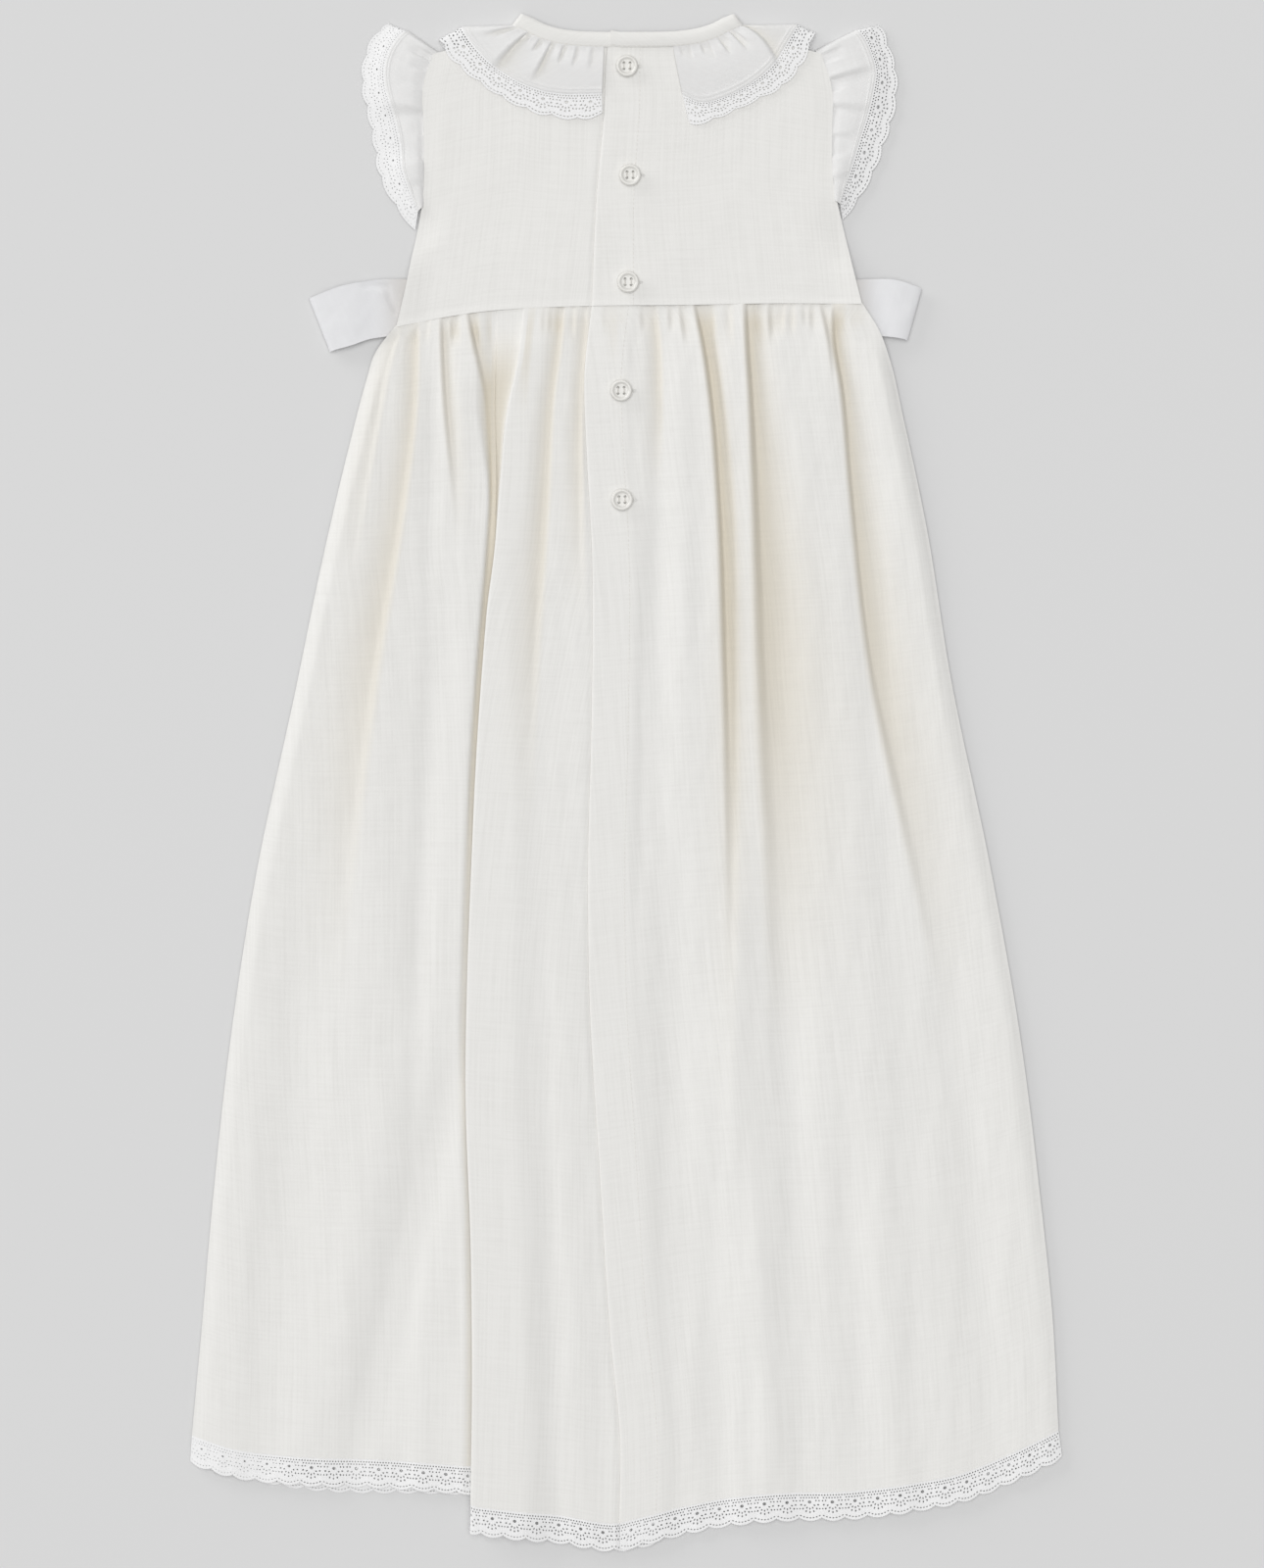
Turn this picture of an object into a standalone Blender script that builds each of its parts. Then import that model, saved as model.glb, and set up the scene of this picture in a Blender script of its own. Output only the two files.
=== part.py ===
"""A baby's christening gown of ivory linen, laid flat on its front so that its buttoned back shows.

The gown has a sleeveless bodice, a long gathered skirt, a frilled collar in two halves, a frill at each
armhole, cotton lace on every free edge, a ribbon loop at each side of the waist and five buttons.

Frame: metres, +Z up from the surface, +Y towards the neck and +X to the right as seen from above.
The tables and functions below work in millimetres, and cloth() turns them into metres.
Left and right are those of the back as it is seen from above.
"""

import math

import bmesh
import bpy
import numpy as np

MM = 0.001

# Driving sizes in millimetres
WALL = 1.0  # every cloth wall
BAND_WALL = 1.2  # the neckband is a folded binding
SEAM = 0.3  # between pieces that are sewn together
FLOOR_LEVEL = WALL / 2  # the middle of a wall that lies on the surface
STACK = WALL + SEAM  # from the middle of one layer to the middle of the next
UNDER_COLLAR = FLOOR_LEVEL + STACK  # the front bodice where the front of the collar lies beneath it
SIDE_LEVEL = FLOOR_LEVEL + STACK  # the back where it meets the front at a side
BACK_LEVEL = UNDER_COLLAR + STACK + 0.3  # the back bodice
LACE = 15.0  # the full width of the lace
SCALLOP = 12.1  # one repeat of its scalloped edge
SCALLOP_DEPTH = 1.8
COLUMNS_A_SCALLOP = 4
CLOSEST_COLUMNS = 0.35
BUTTON_ACROSS = 11.4
BUTTON_THICK = 2.6
BUTTON_HOLE = 1.5
BUTTON_HOLE_PITCH = 3.2
UNDERLAP = 20.0  # how far the left back runs on beneath the right one
ORIGIN = (-0.85, 0.93, 0.0)  # the row's origin, beneath the middle of the whole, in the tables' frame

# Colours, as red, green, blue
IVORY = (0.84, 0.83, 0.80)
WHITE = (0.86, 0.86, 0.87)
PEARL = (0.80, 0.79, 0.76)


def ease(low, high, value):
    """0 up to low, 1 from high on, and a smooth S between them."""
    t = np.clip((value - low) / (high - low), 0.0, 1.0)
    return t * t * (3.0 - 2.0 * t)


def hump(centre, reach, value):
    """1 at the centre, falling smoothly to nothing about twice the reach away."""
    return np.exp(-(((value - centre) / reach) ** 2))


def through(rows, at):
    """The smooth curve through rows of (station, value, ...), read at the stations in at."""
    table = np.array(sorted(rows), float)
    station = table[:, 0]
    values = table[:, 1:]
    slopes = np.gradient(values, station, axis=0)
    at = np.clip(np.asarray(at, float), station[0], station[-1])
    i = np.clip(np.searchsorted(station, at, side="right") - 1, 0, len(station) - 2)
    span = station[i + 1] - station[i]
    t = ((at - station[i]) / span)[..., None]
    span = span[..., None]
    found = (
        (2 * t**3 - 3 * t**2 + 1) * values[i]
        + (t**3 - 2 * t**2 + t) * span * slopes[i]
        + (3 * t**2 - 2 * t**3) * values[i + 1]
        + (t**3 - t**2) * span * slopes[i + 1]
    )
    return found[..., 0] if values.shape[1] == 1 else found


def no_lower(level, height):
    """The height, eased so that it never falls under the level."""
    softness = 0.3
    return level + softness * np.logaddexp(0.0, (height - level) / softness)


# The bodice: where its edges run, as (y, x) rows from the waist up
BODICE_LEFT = (
    # y, x
    (241.8, -122.5),
    (267.3, -116.7),
    (278.0, -114.6),
    (296.0, -110.8),
    (312.0, -108.3),
    (345.0, -108.0),
    (372.0, -107.9),
    (386.4, -103.2),
)
BODICE_RIGHT = (
    # y, x
    (254.6, 124.0),
    (271.4, 119.8),
    (288.0, 115.9),
    (305.0, 111.9),
    (320.0, 108.9),
    (345.0, 108.4),
    (370.0, 108.0),
    (388.0, 102.2),
)
# The waist seam, from left to right
WAIST = (
    # x, y
    (-140.0, 238.6),
    (-122.5, 242.4),
    (-100.0, 247.3),
    (-77.0, 250.8),
    (-50.0, 252.7),
    (-17.9, 253.7),
    (30.9, 254.2),
    (75.0, 255.0),
    (124.0, 254.6),
    (140.0, 254.2),
)
# The free edge of the overlapping right back, down the bodice
PLACKET = (
    # y, x
    (253.7, -18.5),
    (310.0, -16.0),
    (351.0, -12.4),
    (391.0, -10.2),
    (400.0, -9.0),
)
NECK_HALF = 54.0  # from the centre of the neck to where it turns over the shoulder
BACK_NECK = 391.15
FRONT_NECK = 361.15
NECK_RISE = 8.5
NECK_TURN = (60.6, 402.4)  # where the neck seam lies on the fold at the shoulder
NECK_TURN_INWARD = np.array([-0.60, 0.80])
BAND_WIDTH = 7.0
BAND_END_LEFT = 8.0  # the hidden end of the neckband, and the one that laps over it
BAND_END_RIGHT = -9.0
SHOULDER_NECK_Y = 399.6
SHOULDER_TIP_X = 103.0
SHOULDER_TIP_Y = 387.0


def waist(x):
    return through(WAIST, x)


def back_neck(x):
    """The back neck seam: nearly straight, and rising where it nears a shoulder."""
    return BACK_NECK + NECK_RISE * np.minimum(np.abs(x) / NECK_HALF, 1.1) ** 4


def front_neck(x):
    """The front neck seam, a deeper scoop that meets the back one at the shoulders."""
    rise = back_neck(NECK_HALF) - FRONT_NECK
    return FRONT_NECK + rise * np.minimum(np.abs(x) / NECK_HALF, 1.0) ** 2.4


def neck_place(seam, x):
    """A point on a neck seam, for x to the right of the centre, and the direction from it towards the
    neck opening. Beyond the panels the seam runs on to the fold at the shoulder."""
    near = min(x, NECK_HALF)
    y = seam(near)
    slope = (y - seam(near - 0.5)) / 0.5
    inward = np.array([-slope, 1.0]) / math.hypot(1.0, slope)
    past = max(x - NECK_HALF, 0.0) / (NECK_TURN[0] - NECK_HALF)
    y = y + (NECK_TURN[1] - y) * past
    inward = inward + (NECK_TURN_INWARD - inward) * min(2.0 * past, 1.0)
    return np.array([x, y]), inward / np.linalg.norm(inward)


def bodice_top(x, neck):
    """The top edge of a bodice panel: the neck seam, then the shoulder seam."""
    along = (np.abs(x) - NECK_HALF) / (SHOULDER_TIP_X - NECK_HALF)
    shoulder = SHOULDER_NECK_Y + (SHOULDER_TIP_Y - SHOULDER_NECK_Y) * along
    return np.where(np.abs(x) < NECK_HALF, np.minimum(neck, SHOULDER_NECK_Y), shoulder)


RIBBON_Y = 253.0  # the middle of the ribbons, which lift the side of the gown where they leave it


def front_level(y):
    """The middle of the front bodice's wall."""
    return FLOOR_LEVEL + (UNDER_COLLAR - FLOOR_LEVEL) * ease(293.0, 316.0, y)


def side_level(y):
    """The middle of the back's wall at a side edge."""
    lift = (1.0 - ease(14.0, 40.0, np.abs(y - RIBBON_Y))) * 3.1
    return front_level(y) + STACK + lift


def bodice_level(x, y):
    """The middle of the back bodice's wall: it drops a little towards its sides."""
    left = through(BODICE_LEFT, y)
    right = through(BODICE_RIGHT, y)
    inward = np.minimum(x - left, right - x)
    edge = side_level(y)
    inner = BACK_LEVEL + 0.9 * hump(264.0, 26.0, y)
    return edge + (np.maximum(inner, edge) - edge) * ease(-1.0, 14.0, inward)


def right_over_left(x):
    """How much higher the right back lies, where the left back runs on beneath it."""
    return (STACK + 0.2) * (1.0 - ease(UNDERLAP - 10.0, UNDERLAP + 4.0, x))


# The skirt: v is 0 at the waist seam and 1 at the hem
SKIRT_SIDES = (
    # v, left x, right x
    (0.00, -122.5, 124.0),
    (0.04, -137.6, 136.4),
    (0.10, -146.5, 145.8),
    (0.20, -160.3, 158.5),
    (0.33, -176.2, 171.0),
    (0.50, -197.5, 192.2),
    (0.65, -211.0, 208.0),
    (0.80, -220.5, 219.2),
    (0.90, -225.6, 225.3),
    (1.00, -231.0, 228.4),
)
# The big fold on the left, where the middle of the back lies over the side of it:
# where its edge runs, and how far the cloth goes in under it. Less than nothing is an open valley.
BIG_FOLD = (
    # v, edge x, depth
    (0.00, -56.4, -11.5),
    (0.045, -59.5, -8.5),
    (0.086, -65.0, -3.5),
    (0.14, -67.6, -1.0),
    (0.21, -70.5, 0.5),
    (0.28, -74.3, 6.0),
    (0.37, -78.3, 13.0),
    (0.47, -81.2, 17.0),
    (0.56, -83.3, 19.0),
    (0.65, -84.2, 20.0),
    (0.79, -81.4, 21.0),
    (0.91, -80.8, 22.0),
    (1.00, -81.6, 22.0),
)
SKIRT_PLACKET = (
    # v, x
    (0.00, -18.5),
    (0.06, -22.4),
    (0.11, -21.6),
    (0.20, -18.5),
    (0.34, -18.6),
    (0.46, -20.5),
    (0.58, -19.5),
    (0.70, -14.8),
    (0.84, -9.1),
    (0.94, -3.4),
    (1.00, -4.0),
)
HEM_SIDE = (
    # x, y of the hem left of the big fold
    (-232.0, -345.0),
    (-209.0, -352.4),
    (-178.5, -356.2),
    (-125.0, -358.5),
    (-81.0, -361.9),
    (-55.0, -364.0),
)
HEM_MIDDLE = (
    # x, y of the hem from the big fold to the centre back
    (-84.0, -382.0),
    (-56.4, -385.2),
    (-36.7, -387.4),
    (-4.6, -391.7),
    (20.0, -387.0),
)
HEM_RIGHT = (
    # x, y of the hem right of the centre back
    (-5.0, -391.7),
    (16.4, -386.3),
    (40.2, -380.7),
    (67.6, -376.6),
    (122.3, -374.4),
    (149.7, -370.8),
    (177.0, -365.3),
    (204.4, -354.3),
    (228.5, -342.5),
)
HEM_FRONT = (
    # x, y of the hidden front hem
    (-230.0, -346.5),
    (-180.0, -358.0),
    (-90.0, -362.0),
    (0.0, -369.0),
    (90.0, -365.0),
    (180.0, -354.0),
    (227.0, -341.5),
)
SKIRT_HEIGHT = (
    # v, the middle of the back skirt's wall between its folds
    (0.00, 3.6),
    (0.02, 4.6),
    (0.05, 5.8),
    (0.16, 5.6),
    (0.40, 4.5),
    (0.65, 3.8),
    (1.00, 2.9),
)
# Creases that start in the gathers. Each is a ridge with a valley beside it: side is +1 where the
# valley lies to the right of the line, and -1 to the left. Short ones are the gathers themselves.
SIDE_CREASES = (
    # x at the waist, x at v 0.12, x at v 0.4, fades by v, depth, width, side
    (-118.0, -131.0, -150.0, 0.22, 2.2, 8.0, -1),
    (-111.0, -113.8, -141.2, 0.58, 3.6, 10.0, -1),
    (-99.1, -94.4, -88.0, 0.17, 2.4, 6.0, 1),
    (-93.6, -92.6, -90.0, 0.05, 1.7, 3.4, 1),
    (-85.2, -72.9, -72.0, 0.20, 2.6, 5.0, 1),
    (-80.0, -76.0, -74.0, 0.05, 1.5, 3.2, -1),
    (-74.6, -71.5, -70.0, 0.05, 1.6, 3.2, 1),
)
MIDDLE_CREASES = (
    # x at the waist, x at v 0.12, x at v 0.4, fades by v, depth, width, side
    (-49.1, -53.5, -56.0, 0.08, 2.0, 4.2, -1),
    (-41.5, -42.5, -44.0, 0.05, 1.5, 3.4, 1),
    (-33.7, -40.2, -47.5, 0.40, 3.0, 7.5, -1),
    (-27.3, -28.2, -28.0, 0.05, 1.6, 3.2, -1),
    (-20.5, -24.0, -21.0, 0.24, 2.6, 6.0, -1),
)
RIGHT_CREASES = (
    # x at the waist, x at v 0.12, x at v 0.4, fades by v, depth, width, side
    (-9.6, -9.0, -8.0, 0.05, 1.3, 3.2, 1),
    (-1.6, -1.4, -1.0, 0.03, 1.0, 3.0, -1),
    (7.0, 8.0, 9.0, 0.04, 1.0, 3.2, 1),
    (14.8, 17.2, 15.0, 0.17, 2.4, 7.0, -1),
    (26.8, 29.0, 31.0, 0.05, 1.6, 3.6, 1),
    (35.0, 45.7, 58.3, 0.80, 4.2, 10.0, 1),
    (46.0, 49.0, 52.0, 0.04, 1.2, 3.2, -1),
    (55.0, 57.0, 60.0, 0.05, 1.3, 3.4, -1),
    (62.1, 65.5, 72.5, 0.66, 4.4, 17.0, 1),
    (68.5, 70.0, 71.0, 0.05, 1.6, 3.2, 1),
    (74.8, 76.0, 78.0, 0.04, 1.6, 3.2, 1),
    (83.5, 82.0, 81.0, 0.04, 1.6, 3.2, -1),
    (89.5, 88.0, 87.0, 0.04, 1.5, 3.2, -1),
    (95.6, 96.4, 98.0, 0.03, 1.2, 3.0, 1),
    (101.7, 107.8, 112.0, 0.07, 2.0, 4.0, 1),
    (109.3, 116.2, 140.0, 0.66, 4.2, 12.0, 1),
    (114.7, 113.0, 112.0, 0.03, 1.4, 3.0, -1),
    (119.4, 120.6, 122.0, 0.03, 1.2, 3.0, 1),
)
# Broad soft valleys lower down, and ridges where the depth is less than nothing
SOFT_FOLDS = (
    # panel, from v, x there, to v, x there, depth, width
    ("side", 0.66, -90.0, 0.97, -142.0, 1.3, 13.0),
    ("side", 0.45, -160.0, 0.90, -190.0, 0.8, 17.0),
    ("side", 0.62, -115.0, 0.98, -165.0, -0.6, 14.0),
    ("middle", 0.50, -68.0, 0.85, -60.0, 0.9, 12.0),
    ("middle", 0.45, -38.0, 0.98, -26.0, -0.6, 12.0),
    ("right", 0.45, 26.0, 0.92, 32.0, 1.3, 14.0),
    ("right", 0.40, 56.0, 0.80, 58.0, -0.8, 9.0),
    ("right", 0.48, 84.0, 0.88, 92.0, 1.0, 14.0),
    ("right", 0.40, 118.0, 0.95, 150.0, -0.7, 20.0),
    ("right", 0.50, 166.0, 0.95, 190.0, 0.8, 18.0),
)
CREASE_LEVELS = (0.0, 0.12, 0.40)  # the v that a crease's first three columns belong to


def crease_relief(creases, x, v):
    """How much the creases raise or lower the cloth at x and v."""
    relief = np.zeros(np.broadcast(x, v).shape)
    for x_waist, x_upper, x_lower, fades_by, depth, width, side in creases:
        path = list(zip(CREASE_LEVELS, (x_waist, x_upper, x_lower)))
        away = side * (x - through(path, v)) / width
        into_valley = ease(-0.08, 0.40, away)
        valley = into_valley * np.exp(-1.1 * np.maximum(away - 0.4, 0.0) ** 2)
        ridge = (1.0 - into_valley) * np.exp(-0.9 * np.minimum(away, 0.0) ** 2)
        strength = (0.45 + 0.55 * ease(0.0, 0.03, v)) * (1.0 - ease(0.4 * fades_by, fades_by, v))
        relief += depth * strength * (0.4 * ridge - valley)
    return relief


def soft_relief(panel, x, v):
    """How much the broad soft folds of one panel raise or lower it."""
    relief = np.zeros(np.broadcast(x, v).shape)
    for where, v_from, x_from, v_to, x_to, depth, width in SOFT_FOLDS:
        if where == panel:
            along = (v - v_from) / (v_to - v_from)
            centre = x_from + (x_to - x_from) * along
            shown = ease(-0.25, 0.25, along) * (1.0 - 0.6 * ease(0.75, 1.25, along))
            relief -= depth * shown * hump(centre, width, x)
    return relief


def skirt_base(x, v, left, right):
    """The middle of the back skirt's wall before its creases: it drops to the front at the sides."""
    inner = through(SKIRT_HEIGHT, v)
    y = waist(x) - 640.0 * v
    edge = side_level(y)
    inward = np.minimum(x - left, right - x)
    return edge + (np.maximum(inner, edge) - edge) * ease(-2.0, 16.0, inward)


def skirt_lowest(x, v, left, right):
    """How low the back skirt may dip: it stays above the front, and above the ribbons at the sides."""
    inward = np.minimum(x - left, right - x)
    raised = side_level(waist(x) - 640.0 * v) - SIDE_LEVEL
    return SIDE_LEVEL + raised * (1.0 - ease(12.0, 26.0, inward))


def underlap_level(v):
    """The middle of the left skirt's wall where the right skirt lies over it."""
    return 2.3 + 1.3 * (1.0 - ease(0.0, 0.03, v))


FOLD_LOW = 1.9  # the lowest of the big fold's three layers
FOLD_PITCH = 2.3  # between its layers
FOLD_TURN = 1.5  # how far its round edges stand out where it is folded
FOLD_SLOPE = -3.0  # and where it is open
FOLD_ROUND = 1.6  # how gently it turns
FOLD_REACH = 8.0  # how far to each side of it the fold is shaped


def spline(control, count):
    """count points on the uniform cubic B-spline of a list of control points."""
    control = np.array(control, float)
    at = np.linspace(0.0, len(control) - 3.0 - 1e-9, count)
    i = at.astype(int)
    t = (at - i)[:, None]
    return (
        (1 - t) ** 3 * control[i]
        + (3 * t**3 - 6 * t**2 + 4) * control[i + 1]
        + (-3 * t**3 + 3 * t**2 + 3 * t + 1) * control[i + 2]
        + t**3 * control[i + 3]
    ) / 6.0


def big_fold(v, count):
    """The (x, height) points of the big fold at one level: a slope where it is open, and an S of
    three layers where the middle of the back lies over the side."""
    edge, depth = through(BIG_FOLD, v)
    one = FOLD_PITCH * (0.25 + 0.75 * float(ease(0.0, 0.04, v)))
    low = FOLD_LOW + 1.1 * (1.0 - float(ease(0.0, 0.03, v)))
    inner = edge + depth
    out = FOLD_SLOPE + (FOLD_TURN - FOLD_SLOPE) * float(ease(-4.0, 4.0, depth))
    start, end = inner + out, edge - out
    step = min(max((end - start) / 3.0, -FOLD_ROUND), FOLD_ROUND)
    level = float(ease(-1.0, 5.0, depth))
    control = (
        (inner - FOLD_REACH, 0.0),
        (start - FOLD_ROUND, 0.0),
        (start, 0.0),
        (start, one * (0.5 + 0.5 * level)),
        (start + step, one * (0.8 + 0.2 * level)),
        (end - step, one * (1.2 - 0.2 * level)),
        (end, one * (1.5 - 0.5 * level)),
        (end, 2 * one),
        (end + FOLD_ROUND, 2 * one),
        (edge + FOLD_REACH, 2 * one),
    )
    points = spline(control, count)
    points[:, 1] += low
    return points


def left_skirt(v, counts):
    """One level of the left back skirt, as (x, height, panel y) for its side, its fold and its middle."""
    n_side, n_fold, n_middle = counts
    left, right = through(SKIRT_SIDES, v)
    fold = big_fold(v, n_fold)
    x_side = left + (fold[0, 0] - left) * np.linspace(0.0, 1.0, n_side, endpoint=False)
    edge_x, depth = through(BIG_FOLD, v)
    low_from = min(fold[0, 0], edge_x - 3.0)
    near = ease(low_from - 16.0, low_from, x_side)
    z_side = skirt_base(x_side, v, left, right) + crease_relief(SIDE_CREASES, x_side, v)
    z_side = z_side + soft_relief("side", x_side, v)
    z_side = no_lower(skirt_lowest(x_side, v, left, right), z_side)
    edge = side_level(waist(left) - 640.0 * v)
    z_side = edge + (z_side - edge) * ease(0.0, 6.0, x_side - left)
    z_side = z_side + (fold[0, 1] - z_side) * near

    seam_x = through(SKIRT_PLACKET, v)
    x_end = seam_x + UNDERLAP
    x_middle = fold[-1, 0] + (x_end - fold[-1, 0]) * np.linspace(0.0, 1.0, n_middle + 1)[1:]
    z_middle = through(SKIRT_HEIGHT, v) + crease_relief(MIDDLE_CREASES, x_middle, v)
    z_middle = no_lower(SIDE_LEVEL, z_middle + soft_relief("middle", x_middle, v))
    high_to = max(fold[-1, 0], edge_x + depth + 3.0)
    leaving = ease(high_to, high_to + 22.0, x_middle)
    z_middle = fold[-1, 1] + (z_middle - fold[-1, 1]) * leaving
    under = ease(seam_x - 7.0, seam_x - 0.5, x_middle)
    z_middle = z_middle + (underlap_level(v) - z_middle) * under
    x = np.concatenate([x_side, fold[:, 0], x_middle])
    z = np.concatenate([z_side, fold[:, 1], z_middle])
    return np.stack([x, z], axis=1)


def left_skirt_grid(levels, counts):
    """The left back skirt's points, a row for each level and a column for each thread line."""
    rows = np.array([left_skirt(v, counts) for v in levels])
    top = left_skirt(0.0, counts)[:, 0]
    bottom = left_skirt(1.0, counts)[:, 0]
    n_side, n_fold, _ = counts
    y_waist = waist(top) - SEAM / 2
    side, middle = through(HEM_SIDE, bottom), through(HEM_MIDDLE, bottom)
    steps = np.linalg.norm(np.diff(rows[-1], axis=0, prepend=rows[-1][:1]), axis=1)
    along = np.cumsum(steps)
    past_fold = ease(along[n_side], along[n_side + n_fold], along)
    y_hem = side + (middle - side) * past_fold
    y = y_waist + (y_hem - y_waist) * np.array(levels)[:, None]
    return np.stack([rows[..., 0], y, rows[..., 1]], axis=-1)


def right_skirt_grid(levels, count):
    """The right back skirt's points, from the free edge of its placket to the side."""
    across = np.linspace(0.0, 1.0, count)[None, :]
    v = np.array(levels)[:, None]
    left_side, right_side = np.moveaxis(through(SKIRT_SIDES, v), -1, 0)
    edge = through(SKIRT_PLACKET, v)
    x = edge + (right_side - edge) * across
    z = skirt_base(x, v, left_side, right_side) + crease_relief(RIGHT_CREASES, x, v)
    z = z + soft_relief("right", x, v)
    over = (1.0 - ease(UNDERLAP - 2.0, UNDERLAP + 8.0, x - edge)) * (STACK + 0.25)
    lowest = underlap_level(v) + over - (1.0 - over / (STACK + 0.25)) * 0.4
    z = no_lower(np.maximum(lowest, skirt_lowest(x, v, left_side, right_side)), z)
    side = side_level(waist(right_side) - 640.0 * v)
    z = side + (z - side) * ease(0.0, 6.0, right_side - x)
    y_waist = waist(x[:1]) - SEAM / 2
    y_hem = through(HEM_RIGHT, x[-1:])
    y = y_waist + (y_hem - y_waist) * v
    return np.stack([x, y, z], axis=-1)


def panel_grid(left, right, bottom, top, level, columns, rows):
    """A flat-cut panel between two side curves x(y) and two end curves y(x)."""
    s = np.linspace(0.0, 1.0, columns)[None, :]
    t = np.linspace(0.0, 1.0, rows)[:, None]
    y_low = bottom(left(-1e3) + (right(-1e3) - left(-1e3)) * s)
    y_high = top(left(1e3) + (right(1e3) - left(1e3)) * s)
    y = y_low + (y_high - y_low) * t
    x = left(y) + (right(y) - left(y)) * s
    return np.stack([x, y, level(x, y)], axis=-1)


def lace_width(along):
    """How far the scalloped edge stands out at a distance along the lace."""
    within = np.abs(np.sin(math.pi * along / SCALLOP))
    return LACE - SCALLOP_DEPTH * (1.0 - within**0.8)


# What each gathered strip follows: layer is 1 on the back, 0 on the fold over the shoulder and -1 on
# the hidden front. A collar half is sewn to the neck seam, and a frill to the armhole.
COLLAR_LEFT = (
    # layer, neck x, free x, y, lace x, y
    (1.0, -12.6, -13.6, 366.0, -13.4, 354.3),
    (1.0, -20.8, -24.5, 365.8, -25.5, 351.6),
    (1.0, -28.6, -34.5, 365.9, -37.0, 352.9),
    (1.0, -36.8, -45.6, 367.6, -49.5, 355.5),
    (1.0, -44.4, -58.0, 372.4, -64.5, 362.2),
    (1.0, -51.0, -71.0, 380.8, -79.5, 372.0),
    (1.0, -56.0, -81.5, 391.5, -92.8, 383.2),
    (0.0, -60.6, -88.0, 401.2, -100.4, 394.6),
    (-1.0, -56.0, -81.0, 391.0, -92.0, 382.0),
    (-1.0, -50.6, -72.0, 372.0, -82.0, 361.0),
    (-1.0, -38.6, -52.0, 348.4, -59.0, 335.2),
    (-1.0, -20.6, -27.0, 337.6, -30.0, 323.0),
    (-1.0, -2.0, -2.4, 335.0, -2.6, 320.4),
)
COLLAR_RIGHT = (
    # layer, neck x, free x, y, lace x, y
    (1.0, 24.0, 29.0, 365.2, 33.2, 348.0),
    (1.0, 32.0, 39.5, 361.2, 45.0, 351.4),
    (1.0, 40.0, 52.0, 364.5, 57.0, 356.6),
    (1.0, 46.5, 63.0, 370.0, 70.5, 363.0),
    (1.0, 51.5, 72.0, 376.4, 81.0, 368.4),
    (1.0, 54.5, 78.5, 383.4, 88.5, 375.6),
    (1.0, 57.0, 84.0, 392.5, 94.2, 384.2),
    (0.0, 60.6, 90.0, 402.4, 99.6, 398.6),
    (-1.0, 56.0, 84.0, 392.0, 94.0, 383.0),
    (-1.0, 50.6, 72.0, 372.0, 82.0, 361.0),
    (-1.0, 38.6, 52.0, 348.4, 59.0, 335.2),
    (-1.0, 20.6, 27.0, 337.6, 30.0, 323.0),
    (-1.0, 2.0, 2.4, 335.0, 2.6, 320.4),
)
FRILL_LEFT = (
    # layer, sewn x, y, free x, y, lace x, y
    (1.0, -109.6, 306.0, -112.0, 305.0, -115.2, 293.6),
    (1.0, -109.2, 316.0, -115.4, 315.2, -124.0, 307.4),
    (1.0, -109.2, 327.0, -119.0, 326.6, -131.8, 322.6),
    (1.0, -109.1, 340.0, -120.4, 341.0, -134.6, 338.0),
    (1.0, -109.1, 353.0, -123.6, 355.2, -137.6, 353.4),
    (1.0, -109.1, 364.0, -127.2, 366.6, -140.6, 366.4),
    (1.0, -108.6, 374.0, -128.6, 377.4, -141.0, 379.0),
    (1.0, -107.0, 381.6, -126.6, 387.2, -138.0, 391.0),
    (1.0, -105.4, 386.4, -121.8, 395.0, -131.6, 400.4),
    (0.0, -103.8, 389.4, -117.2, 399.4, -126.2, 403.4),
    (-1.0, -105.2, 386.0, -120.8, 393.8, -129.6, 398.6),
    (-1.0, -108.9, 374.0, -127.0, 376.0, -138.6, 377.0),
    (-1.0, -109.0, 353.0, -122.8, 354.0, -135.6, 352.6),
    (-1.0, -109.0, 332.0, -117.4, 332.0, -130.2, 329.0),
    (-1.0, -110.0, 306.0, -112.4, 305.0, -115.6, 294.6),
)
FRILL_RIGHT = (
    # layer, sewn x, y, free x, y, lace x, y
    (1.0, 112.2, 309.0, 114.2, 309.4, 116.0, 300.0),
    (1.0, 109.8, 319.0, 116.0, 319.6, 123.0, 310.6),
    (1.0, 109.2, 330.0, 119.4, 330.4, 130.8, 324.4),
    (1.0, 109.0, 341.0, 123.0, 342.4, 136.0, 338.6),
    (1.0, 109.0, 353.0, 127.0, 355.4, 140.6, 352.6),
    (1.0, 108.8, 364.0, 129.6, 366.6, 143.0, 367.0),
    (1.0, 108.0, 373.6, 131.2, 377.2, 142.4, 379.4),
    (1.0, 106.2, 380.6, 129.0, 386.2, 139.4, 389.4),
    (1.0, 104.4, 386.0, 125.4, 394.4, 136.4, 398.0),
    (0.0, 103.0, 390.6, 121.4, 399.6, 134.4, 402.8),
    (-1.0, 104.6, 386.0, 124.4, 393.0, 134.6, 395.0),
    (-1.0, 108.8, 372.0, 129.6, 374.0, 140.0, 376.0),
    (-1.0, 109.4, 353.0, 125.0, 354.0, 138.0, 352.6),
    (-1.0, 109.6, 332.0, 118.2, 332.0, 130.0, 328.4),
    (-1.0, 112.8, 309.0, 114.6, 309.4, 116.0, 301.0),
)
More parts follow.
